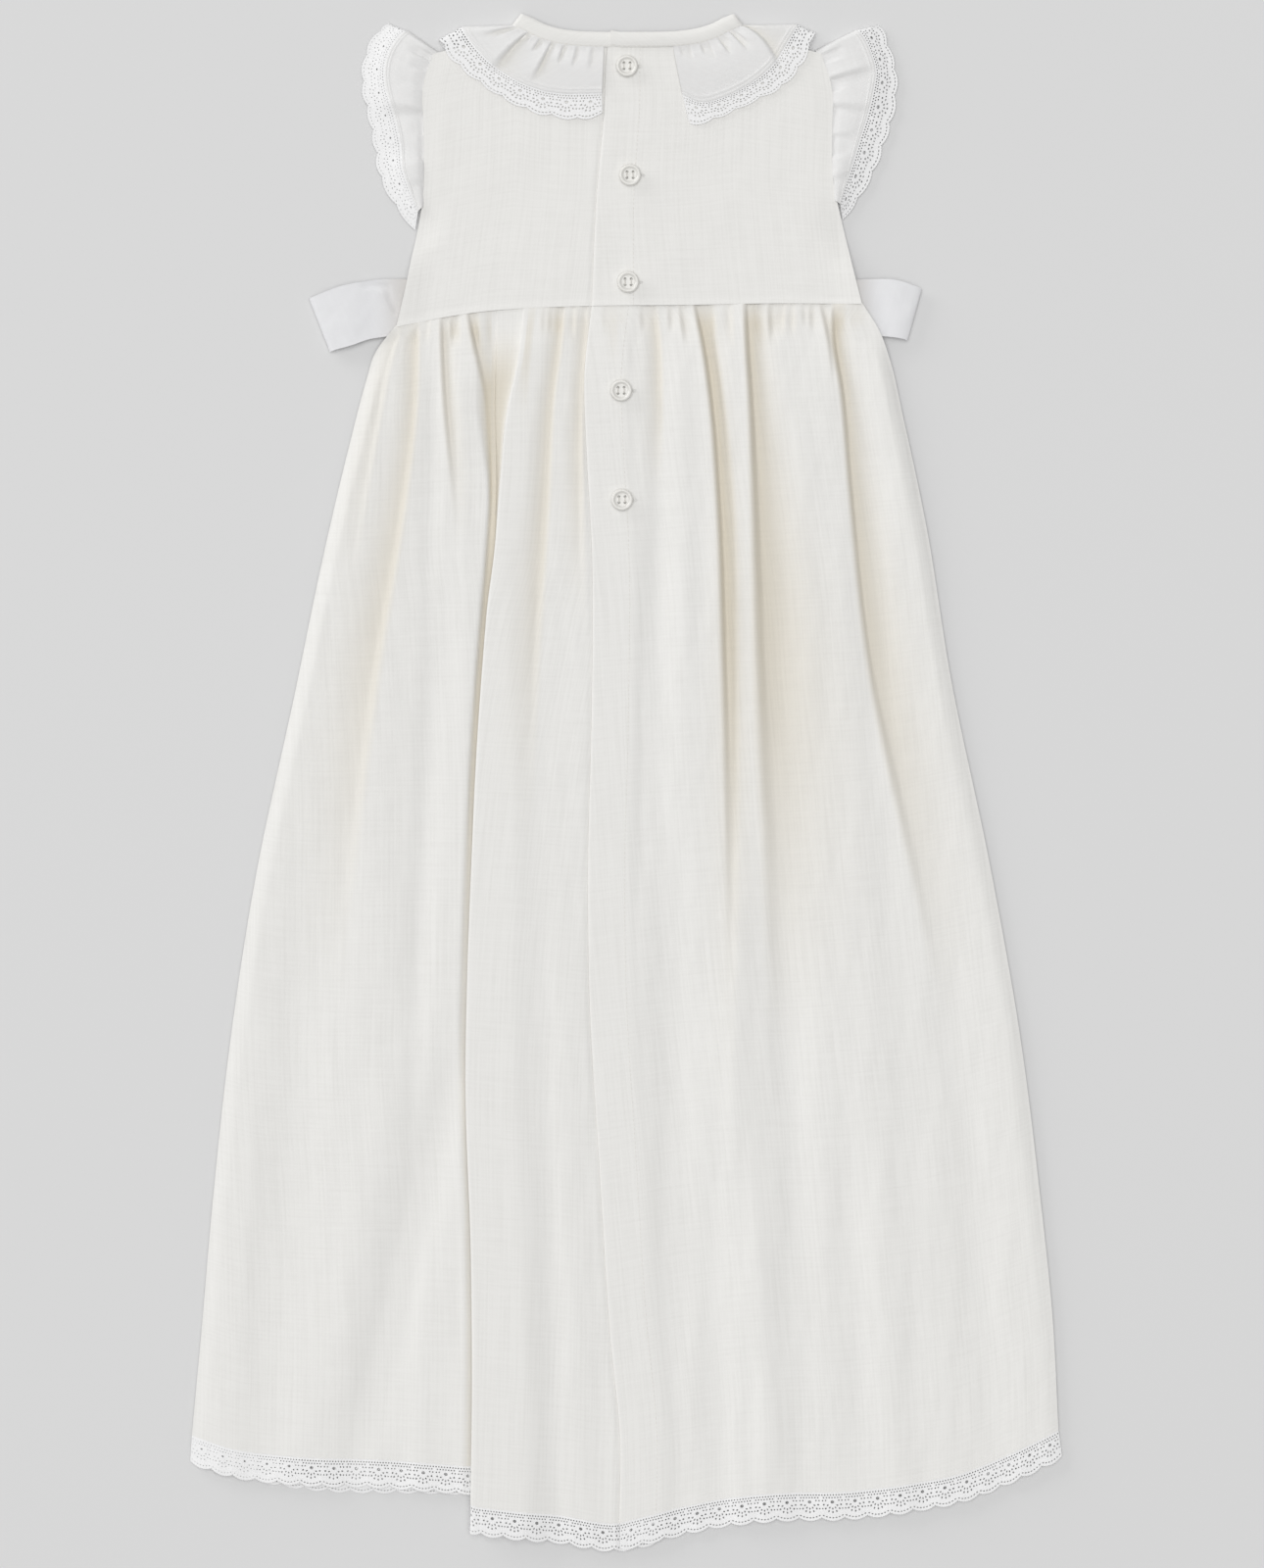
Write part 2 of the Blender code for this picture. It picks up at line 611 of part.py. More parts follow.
# Where a collar or frill dips between its gathers: the station along it, the depth and the width in
# stations, and how far across it the dip runs, from 0 at the sewn edge to 1 at the free edge
COLLAR_DIPS = (
    # station, depth, width, runs to
    (0.35, 1.0, 0.20, 0.9),
    (1.15, 0.8, 0.16, 0.6),
    (1.75, 1.1, 0.18, 1.2),
    (2.35, 0.9, 0.16, 0.7),
    (2.95, 1.1, 0.18, 1.0),
    (3.60, 1.0, 0.18, 0.8),
    (4.30, 1.2, 0.22, 1.2),
    (5.10, 1.0, 0.22, 0.9),
)
FRILL_DIPS = (
    # station, depth, width, runs to
    (1.5, 0.7, 0.30, 1.4),
    (2.7, 0.9, 0.28, 1.4),
    (3.9, 0.9, 0.30, 1.4),
    (5.2, 0.8, 0.30, 1.2),
    (6.6, 0.9, 0.30, 1.4),
    (7.5, 0.8, 0.26, 1.2),
)


TURN = 0.42  # how much of the stations next to the fold over the shoulder its round part takes up
TURN_COLUMNS = 4  # in each half of the round part


def collar_rows(table):
    """The rows of a collar half, with its sewn edge on the neck seam, just outside the neckband."""
    rows = []
    for layer, x, *rest in table:
        place, inward = neck_place(back_neck if layer >= 0 else front_neck, abs(x))
        sewn = (place - inward * (0.45 if layer >= 0 else 1.0)) * (math.copysign(1.0, x), 1.0)
        rows.append((layer, *sewn, *rest))
    return rows


def strip_rails(rows, at):
    """The rows of a strip, smoothed on each side of its fold: the layer and the places."""
    fold = [row[0] for row in rows].index(0.0)
    back = through(numbered(rows[: fold + 1]), at)[:, 1:]
    front = through([(i + fold, *row) for i, row in enumerate(rows[fold:])], at)[:, 1:]
    from_fold = np.clip(np.abs(at - fold) / TURN, 0.0, 1.0)
    layer = np.sign(fold - at) * np.sqrt(1.0 - (1.0 - from_fold) ** 2)
    return layer, np.where((at < fold)[:, None], back, front)


def strip_stations(rows):
    """Where along a strip its columns lie, and how wide the lace is there: some columns to each
    scallop on the back, close ones round the shoulder, and few on the plain hidden front."""
    fold = [row[0] for row in rows].index(0.0)
    fine = np.linspace(0.0, fold - TURN, 300)
    edge = strip_rails(rows, fine)[1][:, 2:4]
    steps = np.linalg.norm(np.diff(edge, axis=0), axis=1)
    along = np.concatenate([[0.0], np.cumsum(steps)])
    scallops = round(along[-1] / SCALLOP)
    place = np.linspace(0.0, along[-1], scallops * COLUMNS_A_SCALLOP + 1)
    back = np.interp(place, along, fine)
    quarter = TURN * (1.0 - np.cos(np.linspace(0.0, math.pi / 2, TURN_COLUMNS + 1)))
    turn = np.concatenate([fold - quarter[-2::-1], fold + quarter[1:]])
    front = np.linspace(fold + TURN, len(rows) - 1.0, len(rows) - fold + 2)[1:]
    at = np.concatenate([back, turn, front])
    plain = np.full(len(turn) + len(front), lace_width(0.0))
    return at, np.concatenate([lace_width(place * scallops * SCALLOP / along[-1]), plain])


def numbered(rows):
    return [(i, *row) for i, row in enumerate(rows)]


def dip_relief(dips, at, across):
    relief = np.zeros(np.broadcast(at, across).shape)
    for station, depth, width, runs_to in dips:
        shown = 1.0 - ease(0.6 * runs_to, 1.15 * runs_to, across)
        relief -= depth * shown * hump(station, width, at)
    return relief


def strip_level(layer, at, across, sewn, free, dips):
    """The middle of a strip's wall. On the back it rises from its sewn edge to its free edge, with
    dips between its gathers, and on the front it lies on the surface."""
    waves = dip_relief(dips, at, across) * ease(0.0, 0.3, across) * ease(0.5, 1.0, layer)
    top = sewn + (free - sewn) * ease(0.0, 0.6, across) + waves
    share = (layer + 1.0) / 2.0
    return FLOOR_LEVEL + (top - FLOOR_LEVEL) * share


def strip_grid(rows, across, sewn_level, free_level, dips):
    """A collar half or a frill, a row for each place across it and a column for each along it."""
    at, _ = strip_stations(rows)
    layer, rails = strip_rails(rows, at)
    across = np.array(across)[:, None]
    sewn, free = rails[:, 0:2], rails[:, 2:4]
    plan = sewn[None] + (free - sewn)[None] * across[..., None]
    level = strip_level(layer, at, across, sewn_level, free_level, dips)
    return np.concatenate([plan, level[..., None]], axis=-1)


def strip_lace_grid(rows, across, sewn_level, free_level, dips):
    """The lace along a strip's free edge, with its scallops."""
    at, reach = strip_stations(rows)
    layer, rails = strip_rails(rows, at)
    free, outer = rails[:, 2:4], rails[:, 4:6]
    full = np.linalg.norm(outer - free, axis=1)
    outward = (outer - free) / full[:, None]
    reach = reach * full / LACE
    across = np.array(across)[:, None]
    away = SEAM + (reach - SEAM) * across
    plan = free[None] + outward[None] * away[..., None]
    level = strip_level(layer, at, 1.0 + 0.4 * across, sewn_level, free_level, dips)
    return np.concatenate([plan, level[..., None]], axis=-1)


def hem_lace_grid(hem, kept, across):
    """The scalloped lace below a skirt panel: hem gives the panel's points along its hem, and kept
    says which of them the lace must follow one by one."""
    steps = np.linalg.norm(np.diff(hem, axis=0), axis=1)
    along = np.concatenate([[0.0], np.cumsum(steps)])
    scallops = round(along[-1] / SCALLOP)
    place = np.linspace(0.0, along[-1], scallops * COLUMNS_A_SCALLOP + 1)
    place = np.unique(np.concatenate([place, along[kept]]))
    place = place[np.diff(place, prepend=-1.0) >= CLOSEST_COLUMNS]
    top = np.stack([np.interp(place, along, hem[:, k]) for k in range(3)], axis=1)
    reach = lace_width(place * scallops * SCALLOP / along[-1])
    across = np.array(across)[:, None]
    lean = np.interp(top[:, 0], (-232.0, 0.0, 232.0), (-0.07, 0.0, 0.14))
    away = SEAM + (reach - SEAM) * across
    x = top[:, 0] + lean * away
    z = np.broadcast_to(top[:, 2], x.shape)
    return np.stack([x, top[:, 1] - away, z], axis=-1)


# The neckband, from its hidden left end, over the left shoulder, round the front, over the right
# shoulder and to its end on top
NECKBAND_BACK = BACK_LEVEL + 0.3
NECKBAND_FRONT = 0.9
BAND_ROUND = 1.9  # the reach of its round part at a shoulder


def neckband_grid():
    """The neckband's points: its top edge, its middle and its sewn edge."""
    halves = []
    round_from = NECK_TURN[0] - BAND_ROUND
    angles = np.linspace(math.pi / 2, -math.pi / 2, 9)
    turn = [(round_from + BAND_ROUND * math.cos(a), math.sin(a)) for a in angles]
    for side, end in ((-1.0, BAND_END_LEFT), (1.0, BAND_END_RIGHT)):
        back = [(x, 1.0) for x in np.linspace(end * side, NECK_HALF, 13)]
        front = [(x, -1.0) for x in np.linspace(NECK_HALF, 0.0, 13)]
        half = []
        for x, layer in back + turn + front:
            place, inward = neck_place(back_neck if layer >= 0 else front_neck, x)
            level = NECKBAND_FRONT + (NECKBAND_BACK - NECKBAND_FRONT) * (layer + 1.0) / 2.0
            if side > 0 and layer == 1.0:
                level += right_over_left(x)
            half.append((place * (side, 1.0), inward * (side, 1.0), level))
        halves.append(half)
    left, right = halves
    track = left + right[-2::-1]
    rows = []
    for away in (BAND_WIDTH, BAND_WIDTH / 2, SEAM / 2):
        rows.append([(*(place + inward * away), level) for place, inward, level in track])
    return np.array(rows)


# The ribbons, from the end caught in the side seam, out, round the loop's end and back on top
RIBBON_LEFT = (
    # upper edge x, y, lower edge x, y, level
    (-112.0, 266.6, -127.4, 240.6, 1.8),
    (-121.0, 267.2, -131.0, 238.6, 1.7),
    (-134.0, 266.4, -137.2, 236.2, 0.7),
    (-151.0, 263.2, -146.4, 232.6, 0.6),
    (-165.8, 258.0, -155.4, 230.2, 0.7),
    (-168.6, 257.0, -157.6, 229.0, 2.1),
    (-165.0, 258.8, -155.0, 230.0, 3.7),
    (-151.0, 264.0, -146.0, 232.4, 4.2),
    (-134.0, 267.0, -137.0, 235.6, 3.3),
    (-121.0, 267.6, -130.6, 238.2, 3.1),
    (-112.0, 267.0, -127.0, 240.2, 3.1),
)
RIBBON_RIGHT = (
    # upper edge x, y, lower edge x, y, level
    (115.0, 266.2, 127.0, 238.2, 1.8),
    (122.4, 266.6, 131.0, 237.8, 1.7),
    (130.6, 266.8, 135.6, 237.6, 0.7),
    (142.0, 266.0, 141.4, 237.0, 0.6),
    (152.8, 263.0, 146.2, 236.4, 0.7),
    (155.8, 262.4, 148.2, 235.0, 2.1),
    (152.4, 263.8, 146.0, 235.8, 3.7),
    (142.0, 267.0, 141.2, 236.6, 4.0),
    (130.6, 267.6, 135.2, 237.2, 3.1),
    (122.4, 267.2, 130.6, 237.4, 3.1),
    (115.0, 266.8, 126.6, 238.0, 3.1),
)


def ribbon_grid(rows, count):
    track = through(numbered(rows), np.linspace(0.0, len(rows) - 1.0, count))
    upper = np.concatenate([track[:, 0:2], track[:, 4:5]], axis=1)
    lower = np.concatenate([track[:, 2:4], track[:, 4:5]], axis=1)
    return np.stack([upper, (upper + lower) / 2, lower])


BUTTONS = (
    # x, y
    (-0.3, 380.1),
    (1.3, 322.4),
    (0.3, 265.7),
    (-3.4, 208.0),
    (-2.9, 150.3),
)


def material(name, colour, roughness):
    made = bpy.data.materials.new(name)
    made.use_nodes = True
    shader = made.node_tree.nodes["Principled BSDF"]
    shader.inputs["Base Color"].default_value = (*colour, 1.0)
    shader.inputs["Roughness"].default_value = roughness
    return made


def collection(name):
    made = bpy.data.collections.new(name)
    bpy.context.scene.collection.children.link(made)
    return made


def cloth(name, grid, finish, wall=WALL, keep=1.0, whole=()):
    """A cloth wall about a grid of points in millimetres. keep is the share of its faces that stays
    when the flat stretches are thinned out, and whole names the columns that are left as they are."""
    rows, columns = grid.shape[:2]
    number = np.arange(rows * columns).reshape(rows, columns)
    faces = np.stack([number[:-1, :-1], number[:-1, 1:], number[1:, 1:], number[1:, :-1]], axis=-1)
    mesh = bpy.data.meshes.new(name)
    mesh.from_pydata(((grid.reshape(-1, 3) - ORIGIN) * MM).tolist(), [], faces.reshape(-1, 4).tolist())
    mesh.materials.append(finish)
    part = bpy.data.objects.new(name, mesh)
    gown.objects.link(part)
    up = sum(face.normal.z for face in mesh.polygons)
    if up < 0:
        mesh.flip_normals()
    if keep < 1.0:
        thinned = part.modifiers.new("Fewer faces", "DECIMATE")
        thinned.ratio = keep
        if len(whole):
            flat = part.vertex_groups.new(name="Thinned")
            flat.add(np.delete(number, whole, axis=1).ravel().tolist(), 1.0, "REPLACE")
            thinned.vertex_group = flat.name
            thinned.vertex_group_factor = 1000.0
    solid = part.modifiers.new("Wall", "SOLIDIFY")
    solid.thickness = wall * MM
    solid.offset = 0.0
    return part


def button(name, x, y, surface, finish):
    """A four-hole button with a raised rim, resting just above the placket."""
    radius = BUTTON_ACROSS / 2
    dish = BUTTON_THICK - 0.8
    profile = (
        # radius, height
        (0.0, dish),
        (radius - 2.0, dish),
        (radius - 1.4, BUTTON_THICK),
        (radius - 0.5, BUTTON_THICK),
        (radius, BUTTON_THICK - 0.7),
        (radius, 0.9),
        (radius - 1.6, 0.0),
        (0.0, 0.0),
    )
    mesh = bpy.data.meshes.new(name)
    points = [(r * MM, 0.0, z * MM) for r, z in profile]
    mesh.from_pydata(points, [(i, i + 1) for i in range(len(profile) - 1)], [])
    mesh.materials.append(finish)
    disc = bpy.data.objects.new(name, mesh)
    x, y = x - ORIGIN[0], y - ORIGIN[1]
    disc.location = (x * MM, y * MM, (surface + SEAM) * MM)
    gown.objects.link(disc)
    turn = disc.modifiers.new("Turned", "SCREW")
    turn.steps = turn.render_steps = 16
    turn.use_merge_vertices = True
    turn.merge_threshold = 0.00001
    for sign_x in (-1, 1):
        for sign_y in (-1, 1):
            hole = bmesh.new()
            bmesh.ops.create_cone(
                hole,
                cap_ends=True,
                segments=6,
                radius1=BUTTON_HOLE / 2 * MM,
                radius2=BUTTON_HOLE / 2 * MM,
                depth=4 * BUTTON_THICK * MM,
            )
            cutter_mesh = bpy.data.meshes.new("needle hole")
            hole.to_mesh(cutter_mesh)
            hole.free()
            cutter = bpy.data.objects.new("needle hole", cutter_mesh)
            half = BUTTON_HOLE_PITCH / 2 * MM
            cutter.location = (x * MM + sign_x * half, y * MM + sign_y * half, disc.location.z)
            cutter.hide_render = True
            cutter.display_type = "WIRE"
            cutters.objects.link(cutter)
            cut = disc.modifiers.new("Needle hole", "BOOLEAN")
            cut.operation = "DIFFERENCE"
            cut.object = cutter
    return disc


def highest_near(grid, x, y, reach):
    """The highest point of a grid within reach of x and y."""
    away = np.hypot(grid[..., 0] - x, grid[..., 1] - y)
    return float(grid[..., 2][away < reach].max())


def left_back_x(y):
    return through(BODICE_LEFT, np.clip(y, 241.8, 386.4))


def right_back_x(y):
    return through(BODICE_RIGHT, np.clip(y, 254.6, 388.0))


def placket_x(y):
    return through(PLACKET, y)


for old in list(bpy.data.objects):
    bpy.data.objects.remove(old)
gown = collection("Christening gown")
cutters = collection("Cutters")
linen = material("Ivory linen", IVORY, 0.85)
cotton_lace = material("White cotton lace", WHITE, 0.8)
frill_cotton = material("White frill cotton", WHITE, 0.85)
ribbon_weave = material("White ribbon", WHITE, 0.55)
button_pearl = material("Pearly button", PEARL, 0.3)

# Front bodice and front skirt
HIDDEN = 0.8  # how far the front stays inside the outline of the back
front_bodice = panel_grid(
    left=lambda y: left_back_x(y) + HIDDEN,
    right=lambda y: right_back_x(y) - HIDDEN,
    bottom=lambda x: waist(x) + SEAM / 2,
    top=lambda x: bodice_top(x, front_neck(x)) - SEAM,
    level=lambda x, y: front_level(y),
    columns=21,
    rows=7,
)
cloth("bodice_front", front_bodice, linen)


def front_skirt_grid(columns, rows):
    v = np.linspace(0.0, 1.0, rows)[:, None]
    s = np.linspace(0.0, 1.0, columns)[None, :]
    left, right = np.moveaxis(through(SKIRT_SIDES, v), -1, 0)
    x = left + HIDDEN + (right - left - 2 * HIDDEN) * s
    y_waist = waist(x[:1]) - SEAM / 2
    y_hem = through(HEM_FRONT, x[-1:])
    y = y_waist + (y_hem - y_waist) * v
    return np.stack([x, y, np.full_like(x, FLOOR_LEVEL)], axis=-1)


front_skirt = front_skirt_grid(17, 7)
cloth("skirt_front", front_skirt, linen)
LACE_ROWS = (0.0, 1.0)
front_hem = front_skirt[-1]
cloth("hem_lace_front", front_hem - np.array([[[0, SEAM, 0]], [[0, lace_width(0.0), 0]]]), cotton_lace)

# Back bodice: the left back runs on beneath the right one
left_back = panel_grid(
    left=left_back_x,
    right=lambda y: placket_x(y) + UNDERLAP,
    bottom=lambda x: waist(x) + SEAM / 2,
    top=lambda x: bodice_top(x, back_neck(x)) - SEAM / 2,
    level=bodice_level,
    columns=15,
    rows=11,
)
cloth("bodice_back_left", left_back, linen)
right_back = panel_grid(
    left=placket_x,
    right=right_back_x,
    bottom=lambda x: waist(x) + SEAM / 2,
    top=lambda x: bodice_top(x, back_neck(x)) - SEAM / 2,
    level=lambda x, y: bodice_level(x, y) + right_over_left(x),
    columns=15,
    rows=11,
)
cloth("bodice_back_right", right_back, linen)

# Back skirt, with its lace
LEVELS = np.linspace(0.0, 1.0, 29) ** 1.55
LEFT_COUNTS = (60, 17, 44)  # columns in its side, its fold and its middle
FOLD_COLUMNS = np.arange(LEFT_COUNTS[0], LEFT_COUNTS[0] + LEFT_COUNTS[1])
left_grid = left_skirt_grid(LEVELS, LEFT_COUNTS)
cloth("skirt_back_left", left_grid, linen, keep=0.235, whole=FOLD_COLUMNS)
right_grid = right_skirt_grid(LEVELS, 112)
cloth("skirt_back_right", right_grid, linen, keep=0.215)
left_lace = hem_lace_grid(left_grid[-1], FOLD_COLUMNS, LACE_ROWS)
cloth("hem_lace_back_left", left_lace, cotton_lace)
right_lace = hem_lace_grid(right_grid[-1], FOLD_COLUMNS[:0], LACE_ROWS)
cloth("hem_lace_back_right", right_lace, cotton_lace)

# Neckband, collar and frills
cloth("neckband", neckband_grid(), linen, wall=BAND_WALL)
COLLAR_BACK = BACK_LEVEL + STACK + 0.15
STRIP_ROWS = (0.0, 0.3, 0.65, 1.0)
for side, table in (("left", COLLAR_LEFT), ("right", COLLAR_RIGHT)):
    rows = collar_rows(table)
    shape = (COLLAR_BACK, COLLAR_BACK + 2.6, COLLAR_DIPS)
    cloth(f"collar_{side}", strip_grid(rows, STRIP_ROWS, *shape), linen)
    cloth(f"collar_lace_{side}", strip_lace_grid(rows, LACE_ROWS, *shape), cotton_lace)
FRILL_BACK = side_level(350.0)
for side, rows in (("left", FRILL_LEFT), ("right", FRILL_RIGHT)):
    shape = (FRILL_BACK, FRILL_BACK + 1.0, FRILL_DIPS)
    cloth(f"sleeve_frill_{side}", strip_grid(rows, STRIP_ROWS, *shape), frill_cotton)
    cloth(f"sleeve_lace_{side}", strip_lace_grid(rows, LACE_ROWS, *shape), cotton_lace)

# Ribbons and buttons
cloth("ribbon_left", ribbon_grid(RIBBON_LEFT, 31), ribbon_weave)
cloth("ribbon_right", ribbon_grid(RIBBON_RIGHT, 31), ribbon_weave)
backs = np.concatenate([right_back.reshape(-1, 3), right_grid.reshape(-1, 3)])[None]
for number, (x, y) in enumerate(BUTTONS, start=1):
    surface = highest_near(backs, x, y, BUTTON_ACROSS / 2 + 4.0) + WALL / 2
    button(f"button_{number}", x, y, surface, button_pearl)
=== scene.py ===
# %% [markdown]
# # A christening gown, laid flat with its buttoned back up
#
# The gown is ivory linen with white cotton lace on every free edge. It lies on its front on a pale
# surface and is seen from straight above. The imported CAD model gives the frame: every piece below is
# made in its place, thinner and finer than the solid that it stands for.
#
# Lengths are in millimetres in the tables, with x to the right and y towards the neck, and turned into
# metres at the last moment. That way each number can be checked with a ruler on a real gown.

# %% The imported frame
import math

import bmesh
import bpy
import numpy as np
from mathutils import Matrix, Vector
from mathutils.geometry import delaunay_2d_cdt


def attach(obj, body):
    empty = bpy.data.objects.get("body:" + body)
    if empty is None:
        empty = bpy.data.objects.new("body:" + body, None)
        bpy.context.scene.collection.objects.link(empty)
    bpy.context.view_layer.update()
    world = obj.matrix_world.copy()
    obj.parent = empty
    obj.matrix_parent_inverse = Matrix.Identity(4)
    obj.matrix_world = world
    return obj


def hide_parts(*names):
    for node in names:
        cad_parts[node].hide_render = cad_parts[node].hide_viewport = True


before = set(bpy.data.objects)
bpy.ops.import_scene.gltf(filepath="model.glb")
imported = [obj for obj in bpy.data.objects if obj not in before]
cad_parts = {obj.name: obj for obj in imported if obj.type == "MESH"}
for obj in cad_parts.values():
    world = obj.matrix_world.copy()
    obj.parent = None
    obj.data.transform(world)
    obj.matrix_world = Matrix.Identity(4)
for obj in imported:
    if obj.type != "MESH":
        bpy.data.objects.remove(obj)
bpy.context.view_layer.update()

# %% [markdown]
# ## The named sizes
#
# A gown is sewn from a few sizes that repeat: the lace's repeat, the width of the neckband, the
# distance that one back laps over the other. They are named once here, so that a piece and the trim
# sewn to it can't drift apart. The buttons' size, 18 ligne or 11.4 mm, sets the scale of everything.

# %% Sizes in millimetres
MM = 0.001
CLOTH = 0.45  # thickness of the linen
FLOOR_LEVEL = 0.30  # middle of a layer that lies on the surface
STACK = 1.3  # from the middle of one layer to the next
CAD_FLOOR = 0.5  # the middle of the solids' 1 mm wall where it lies on the surface
UNDER_COLLAR = SIDE_LEVEL = CAD_FLOOR + STACK  # over the front of the collar, and along the side seams
BACK_LEVEL = UNDER_COLLAR + STACK + 0.3
SEAM = 0.25
SKIRT_LENGTH = 640.0  # from the waist to the hem, without the lace
LACE = 15.0  # the width of the lace
SCALLOP = 12.1  # one repeat of its edge
SCALLOP_DEPTH = 1.8
BUTTON_ACROSS = 11.4
UNDERLAP = 20.0  # how far the left back runs on beneath the right one
TURNED_EDGE = 17.0  # how far the right back's edge is folded under itself
PHOTO_PIXEL = 0.52  # the side of one of the photograph's pixels
PHOTO_ACROSS, PHOTO_DOWN = 1290, 1600  # its pixels
ORIGIN = np.array((-0.85, 0.93, 0.0))  # the row's origin in the frame of these tables
print(f"one scallop of lace is {SCALLOP} mm, a button {BUTTON_ACROSS} mm")

# %% [markdown]
# ## Curves from short tables
#
# Every outline and crease is a smooth curve through a few measured rows. A cubic Hermite curve is used,
# because it passes through its rows exactly and never swings far between them, as a B-spline or a
# high-order polynomial would.

# %% Curve helpers


def ease(low, high, value):
    """0 up to low, 1 from high on, and a smooth S between them."""
    t = np.clip((value - low) / (high - low), 0.0, 1.0)
    return t * t * (3.0 - 2.0 * t)


def hump(centre, reach, value):
    """1 at the centre, falling smoothly to nothing about twice the reach away."""
    return np.exp(-(((value - centre) / reach) ** 2))


def blend(first, last, share):
    """The first value where the share is 0, the last one where it is 1."""
    return first + (last - first) * share


def through(rows, at):
    """The smooth curve through rows of (station, value, ...), read at the stations in at."""
    table = np.array(sorted(rows), float)
    station, values = table[:, 0], table[:, 1:]
    slopes = np.gradient(values, station, axis=0)
    at = np.clip(np.asarray(at, float), station[0], station[-1])
    i = np.clip(np.searchsorted(station, at, side="right") - 1, 0, len(station) - 2)
    span = station[i + 1] - station[i]
    t = ((at - station[i]) / span)[..., None]
    span = span[..., None]
    found = (
        (2 * t**3 - 3 * t**2 + 1) * values[i]
        + (t**3 - 2 * t**2 + t) * span * slopes[i]
        + (3 * t**2 - 2 * t**3) * values[i + 1]
        + (t**3 - t**2) * span * slopes[i + 1]
    )
    return found[..., 0] if values.shape[1] == 1 else found


def numbered(rows, first=0):
    """Rows with their number in front, as stations."""
    return [(i, *row) for i, row in enumerate(rows, start=first)]


def run_along(line):
    """How far each point of a line lies from its start, along the line."""
    steps = np.linalg.norm(np.diff(line, axis=0), axis=-1)
    return np.concatenate([[0.0], np.cumsum(steps)])


def at_distance(line, run, distance):
    """The points of a line at some distances from its start, run being run_along(line)."""
    return np.stack([np.interp(distance, run, line[:, k]) for k in range(line.shape[1])], axis=1)


def no_lower(level, height):
    """The height, eased so that it never falls under the level."""
    softness = 0.3
    return level + softness * np.logaddexp(0.0, (height - level) / softness)


def ripple(x, y, seed, longest):
    """A slow uneven ripple of about -1 to 1: a few waves of unlike lengths and directions."""
    made = np.random.default_rng(seed)
    total = np.zeros(np.broadcast(x, y).shape)
    for size in (1.0, 0.62, 0.41, 0.27):
        turn, phase, phase_2 = made.uniform(0.0, 2.0 * math.pi, 3)
        wave = 2.0 * math.pi / (longest * size)
        across = np.cos(turn) * x + np.sin(turn) * y
        along = -np.sin(turn) * x + np.cos(turn) * y
        total += size * np.sin(wave * across + phase) * np.cos(0.6 * wave * along + phase_2)
    return total / 2.0


print("a curve through 3 rows, half-way:", through([(0, 0.0), (1, 2.0), (2, 0.0)], 0.5))

# %% [markdown]
# ## Threads in the shader
#
# Linen is a plain weave of uneven yarn: the threads are too fine to count at arm's length, but thick
# slubs and thin places show as short faint lines in both directions. A picture of cloth would do, but a
# shader node group has no edges, no resolution, and can be reused with other numbers for the frill
# cotton, the ribbon and the lace yarn. It reads the UV map, which every piece below lays out in metres
# along its own threads.

# %% Helpers that make objects and wire nodes


def add_object(name, data):
    """A new object in the scene."""
    made = bpy.data.objects.new(name, data)
    bpy.context.scene.collection.objects.link(made)
    return made


def new_material(name, **sockets):
    """A material whose Principled shader has the given values, its node tree and the shader."""
    made = bpy.data.materials.new(name)
    made.use_nodes = True
    shader = made.node_tree.nodes["Principled BSDF"]
    for socket, value in sockets.items():
        shader.inputs[socket.replace("_", " ")].default_value = value
    return made, made.node_tree, shader


def wire(tree, kind, links=None, **settings):
    """One new node: settings that name a socket give its value, others are the node's properties."""
    node = tree.nodes.new(kind)
    for key, value in settings.items():
        if key in node.inputs:
            node.inputs[key].default_value = value
        else:
            setattr(node, key, value)
    for socket, source in (links or {}).items():
        tree.links.new(source, node.inputs[socket])
    return node


def number(tree, operation, a, b=0.0):
    """A Math node: a and b are sockets or numbers."""
    node = tree.nodes.new("ShaderNodeMath")
    node.operation = operation
    for slot_number, given in enumerate((a, b)):
        if isinstance(given, bpy.types.NodeSocket):
            tree.links.new(given, node.inputs[slot_number])
        else:
            node.inputs[slot_number].default_value = given
    return node.outputs[0]


# %% The weave group
SLUBS = (
    # waves for each millimetre across and along, and how strong: first down the warp, then across it
    (0.80, 0.016, 1.0), (0.035, 0.80, 0.65),
)


